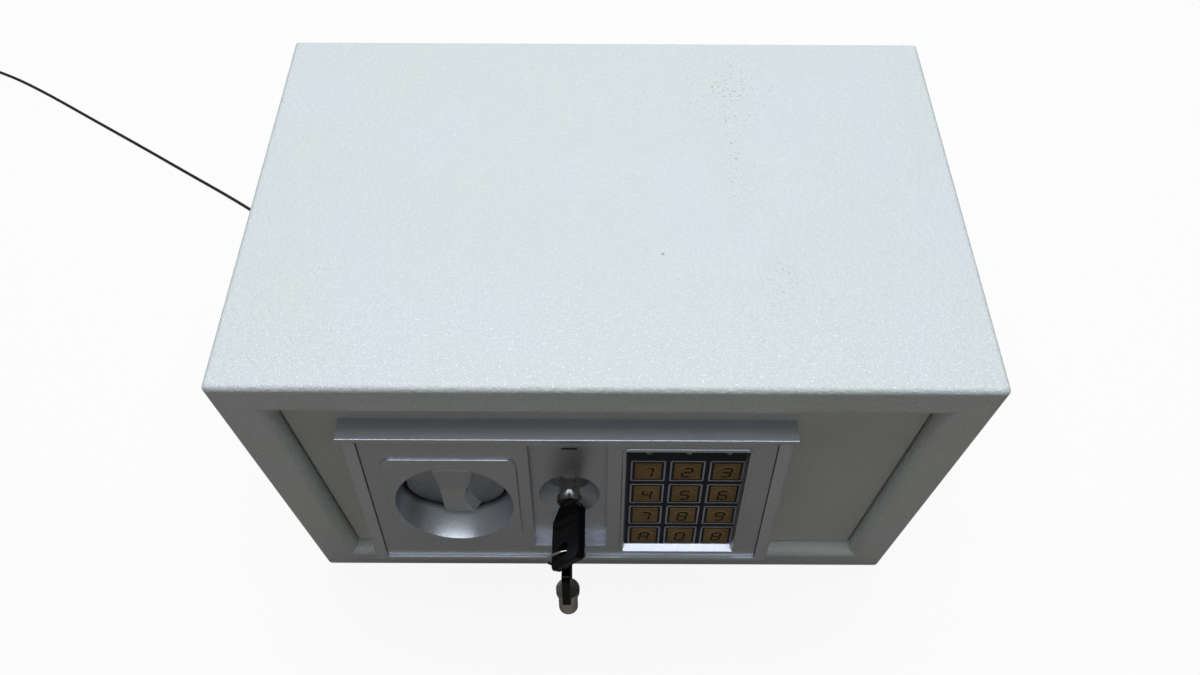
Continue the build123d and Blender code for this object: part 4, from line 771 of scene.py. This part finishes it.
def makeGrip(axisX, axisZ):
    # rows run up the grip and columns across it: a rounded left edge, the face, and a flank that
    # falls as a cosine times a power
    reach, endRound = knobForm["endRadius"], knobForm["endRound"]
    quarter = np.linspace(0, math.pi / 2, knobForm["roundSteps"])
    lowEnd = -reach + endRound * (1 - np.cos(quarter))
    middle = np.linspace(lowEnd[-1], -lowEnd[-1], knobForm["rows"])[1:-1]
    up = np.concatenate([[-reach], lowEnd, middle, -lowEnd[::-1], [reach]])
    endShare = np.sqrt(1 - (1 - np.clip((reach - np.abs(up)) / endRound, 0, 1)) ** 2)
    left, right, foot = (edge[:, None] for edge in gripEdges(up))
    proud = (gripProud(up) * endShare)[:, None]
    corner = np.minimum(knobForm["edgeRound"], proud / 2)
    face = np.linspace(0, 1, knobForm["faceColumns"])[None, 1:]
    flank = np.linspace(0, 1, knobForm["flankColumns"])[None, 1:]
    hollow = np.cos(flank * math.pi / 2) * (1 - flank) ** knobForm["flankPower"]
    across = np.hstack([left, left + corner * (1 - np.cos(quarter)),
                        left + corner + (right - left - corner) * face, right + (foot - right) * flank, foot])
    rise = np.hstack([proud * 0, proud - corner + corner * np.sin(quarter),
                      proud + 0 * face, proud * hollow, proud * 0])
    rise[:, [0, -1]] = -knobForm["footDepth"]
    rise[[0, -1]] = -knobForm["footDepth"]
    height = up[:, None] * np.sqrt(1 - (across / reach) ** 2)
    top = np.stack([axisX + across, knobForm["discFace"] - rise, axisZ + height], axis=-1)
    base = top.copy()
    base[..., 1] = knobForm["discFace"] + knobForm["footDepth"]
    return closedMesh("grip", [gridMesh("gripTop", top), gridMesh("gripBase", base[::-1])])


def makeDisc(axisX, axisZ, radius, hubEnd, shaftRadius, boreFloor):
    # a profile of radius and depth turned about the knob's axis
    face, back = knobForm["discFace"], knobForm["discFace"] + knobForm["discThickness"]
    hub, rimRound = knobForm["hubRadius"], knobForm["rimRound"]
    rim = [(radius - rimRound + rimRound * math.sin(angle), face + rimRound - rimRound * math.cos(angle))
           for angle in np.linspace(0, math.pi / 2, knobForm["roundSteps"])]
    profile = np.array([(0, face), *rim, (radius, back), (hub, back), (hub, hubEnd),
                        (shaftRadius, hubEnd), (shaftRadius, boreFloor), (0, boreFloor)])
    turn = np.linspace(0, 2 * math.pi, knobForm["turnSteps"], endpoint=False)
    rings = np.stack([axisX + profile[:, :1] * np.cos(turn), profile[:, 1:] + 0 * turn,
                      axisZ + profile[:, :1] * np.sin(turn)], axis=-1)
    return closedMesh("disc", [gridMesh("discRings", rings, closedAcross=True)])


knobLow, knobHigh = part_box("knob")
shaftLow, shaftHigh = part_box("knob_shaft")
knobX, knobZ = (knobLow[0] + knobHigh[0]) / 2, (knobLow[2] + knobHigh[2]) / 2
discMesh = makeDisc(knobX, knobZ, (knobHigh[0] - knobLow[0]) / 2, knobHigh[1],
                    (shaftHigh[0] - shaftLow[0]) / 2, shaftLow[1])
gripMesh = makeGrip(knobX, knobZ)
knobDisc = addPiece("knobDisc", discMesh, shadedKnobPaint, "knob")
addPiece("knobGrip", gripMesh, litGripPaint, "knob")
for mesh in (discMesh, gripMesh):
    mesh.set_sharp_from_angle(angle=knobForm["sharpAngle"])
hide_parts("knob")
print("knob made")


# power lead, which lies behind and beside the safe and ends in a neat coil

lead = dict(
    radius=0.0011,
    length=0.762,
    exit=(-0.120, 0.1072, 0.022),
    route=(
        (-0.1200, 0.1072, 0.0220),
        (-0.1200, 0.1155, 0.0220),
        (-0.1215, 0.1245, 0.0188),
        (-0.1265, 0.1320, 0.0126),
        (-0.1355, 0.1370, 0.0062),
        (-0.1475, 0.1396, 0.0024),
        (-0.1620, 0.1400, 0.0011),
        (-0.1800, 0.1392, 0.0011),
        (-0.2020, 0.1398, 0.0011),
        (-0.2240, 0.1445, 0.0011),
        (-0.2460, 0.1556, 0.0011),
        (-0.2700, 0.1722, 0.0011),
        (-0.3060, 0.1950, 0.0011),
        (-0.3500, 0.2233, 0.0011),
        (-0.3960, 0.2522, 0.0011),
        (-0.4340, 0.2764, 0.0011),
        (-0.4660, 0.2952, 0.0011),
        (-0.4870, 0.3050, 0.0011),
        (-0.5000, 0.3109, 0.0011),
    ),
    coilRadius=0.01485,
    coilPitch=0.00275,
    layerRise=0.0027,
    halfTurnsIn=4,
    halfTurnsOut=3,
    pointsPerHalfTurn=10,
    order=3,
    sideSteps=4,
    lineSteps=6,
)


def coilPoints():
    # half turns whose radius falls by half a pitch each, then one that climbs a layer, then out again
    start, before = np.array(lead["route"][-1]), np.array(lead["route"][-2])
    along = (start - before) / np.linalg.norm(start - before)
    towards = np.array([-along[1], along[0], 0.0])
    inner = lead["halfTurnsIn"]
    steps = list(range(inner)) + [inner] + [inner - 1 - step for step in range(lead["halfTurnsOut"])]
    place = start + along * 2 * lead["radius"]
    angle = np.linspace(0, math.pi, lead["pointsPerHalfTurn"], endpoint=False)[:, None]
    points = []
    for number, step in enumerate(steps):
        radius = lead["coilRadius"] - lead["coilPitch"] / 2 * step
        rise = lead["layerRise"] if number == inner else 0.0
        ring = place + towards * radius * (1 - np.cos(angle)) + along * radius * np.sin(angle)
        ring[:, 2] += rise * (1 - np.cos(angle[:, 0])) / 2
        points.append(ring)
        place = place + towards * 2 * radius + np.array([0, 0, rise])
        along, towards = -along, -towards
    points.append(np.array([place, place + along * 2 * lead["radius"]]))
    return np.vstack(points)


leadPoints = np.vstack([np.array(lead["route"]), coilPoints()])
leadCurve = bpy.data.curves.new("powerLead", "CURVE")
leadCurve.dimensions = "3D"
leadCurve.bevel_depth = lead["radius"]
leadCurve.bevel_resolution = lead["sideSteps"]
leadCurve.use_fill_caps = True
leadLine = leadCurve.splines.new("NURBS")
leadLine.points.add(len(leadPoints) - 1)
leadLine.points.foreach_set("co", np.hstack([leadPoints, np.ones((len(leadPoints), 1))]).ravel())
leadLine.order_u = lead["order"]
leadLine.use_endpoint_u = True
leadLine.resolution_u = lead["lineSteps"]
leadCurve.materials.append(leadSkin)
powerLead = addObject("powerLead", leadCurve)
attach(powerLead, "cabinet")
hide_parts("lead_cable", "lead_coil")
print("power lead laid with", len(leadPoints), "points")


# floor, sky, light and camera

studio = dict(
    background=(1.0, 1.0, 1.0),
    floorSize=40.0,
    floorPlace=-0.0002,
    floorPoints=5,
    floorColour=(0.8, 0.8, 0.8),  # as the camera sees it
    floorBounce=(0.205, 0.185, 0.160),  # what it gives back to the safe
    floorRoughness=0.9,
    shadowShare=0.09,
    lowerSky=(0.165, 0.160, 0.145),
    upperSky=(0.165, 0.165, 0.165),
    skyEdges=(-0.3, 0.7),
    lampPlace=(0.0, 0.515, 2.0),
    lampSize=(2.0, 1.87),
    lampPower=43.0,
    lampColour=(0.95, 1.0, 1.05),
)


def seenDirectly(tree):
    # 1 for rays that come straight from the camera
    return tree.nodes.new("ShaderNodeLightPath").outputs["Is Camera Ray"]


def blendShaders(tree, amount, first, second, output):
    # first where the amount is 0 and second where it is 1
    node = tree.nodes.new("ShaderNodeMixShader")
    for socket, value in zip(node.inputs, (amount, first, second)):
        tree.links.new(value, socket)
    tree.links.new(node.outputs["Shader"], tree.nodes[output].inputs["Surface"])


def makeFloor():
    # the camera sees it nearly as white as the background, with a light shadow left in it
    half = studio["floorSize"] / 2
    edge = np.linspace(-half, half, studio["floorPoints"])
    across, away = np.meshgrid(edge, edge)
    level = np.full_like(across, studio["floorPlace"])
    mesh = gridMesh("floor", np.stack([across, away, level], axis=-1))
    floor = addObject("floor", mesh)
    finish, tree, shader = newFinish("floorWhite")[:3]
    shade = blendColours(tree, seenDirectly(tree), studio["floorBounce"], studio["floorColour"])
    tree.links.new(shade, shader.inputs["Base Color"])
    shader.inputs["Roughness"].default_value = studio["floorRoughness"]
    glow = tree.nodes.new("ShaderNodeEmission")
    glow.inputs["Color"].default_value = (*studio["background"], 1)
    whiteShare = combine(tree, "MULTIPLY", seenDirectly(tree), 1 - studio["shadowShare"])
    blendShaders(tree, whiteShare, shader.outputs["BSDF"], glow.outputs["Emission"], "Material Output")
    mesh.materials.append(finish)


def makeSky():
    # soft grey light from all round, behind a white that only the camera sees
    world = bpy.data.worlds.new("studioSky")
    bpy.context.scene.world = world
    world.use_nodes = True
    tree = world.node_tree
    sky = tree.nodes["Background"]
    direction = tree.nodes.new("ShaderNodeTexCoord").outputs["Generated"]
    height = remap(tree, parts(tree, direction)[2], *studio["skyEdges"])
    tree.links.new(blendColours(tree, height, studio["lowerSky"], studio["upperSky"]), sky.inputs["Color"])
    bright = tree.nodes.new("ShaderNodeBackground")
    bright.inputs["Color"].default_value = (*studio["background"], 1)
    blendShaders(tree, seenDirectly(tree), sky.outputs["Background"], bright.outputs["Background"],
                 "World Output")


def makeCeilingLight():
    lamp = bpy.data.lights.new("ceilingLight", "AREA")
    lamp.shape = "RECTANGLE"
    lamp.size, lamp.size_y = studio["lampSize"]
    lamp.energy = studio["lampPower"]
    lamp.color = studio["lampColour"]
    addObject("ceilingLight", lamp).location = studio["lampPlace"]


photoView = dict(  # solved from the corners of the cabinet in the photograph
    place=(-0.00291, -0.26838, 0.50067),
    turn=(32.772, -0.1893, 0.1816),
    lens=27.218,
    sensorWidth=36.0,
    nearest=0.01,
)


def makeCamera():
    view = bpy.data.cameras.new("photoCamera")
    view.lens = photoView["lens"]
    view.sensor_fit = "HORIZONTAL"
    view.sensor_width = photoView["sensorWidth"]
    view.clip_start = photoView["nearest"]
    camera = addObject("photoCamera", view)
    camera.location = photoView["place"]
    camera.rotation_euler = [math.radians(angle) for angle in photoView["turn"]]
    bpy.context.scene.camera = camera


makeFloor()
makeSky()
makeCeilingLight()
makeCamera()
bpy.context.scene.view_settings.view_transform = "Standard"
print("floor, light and camera set")
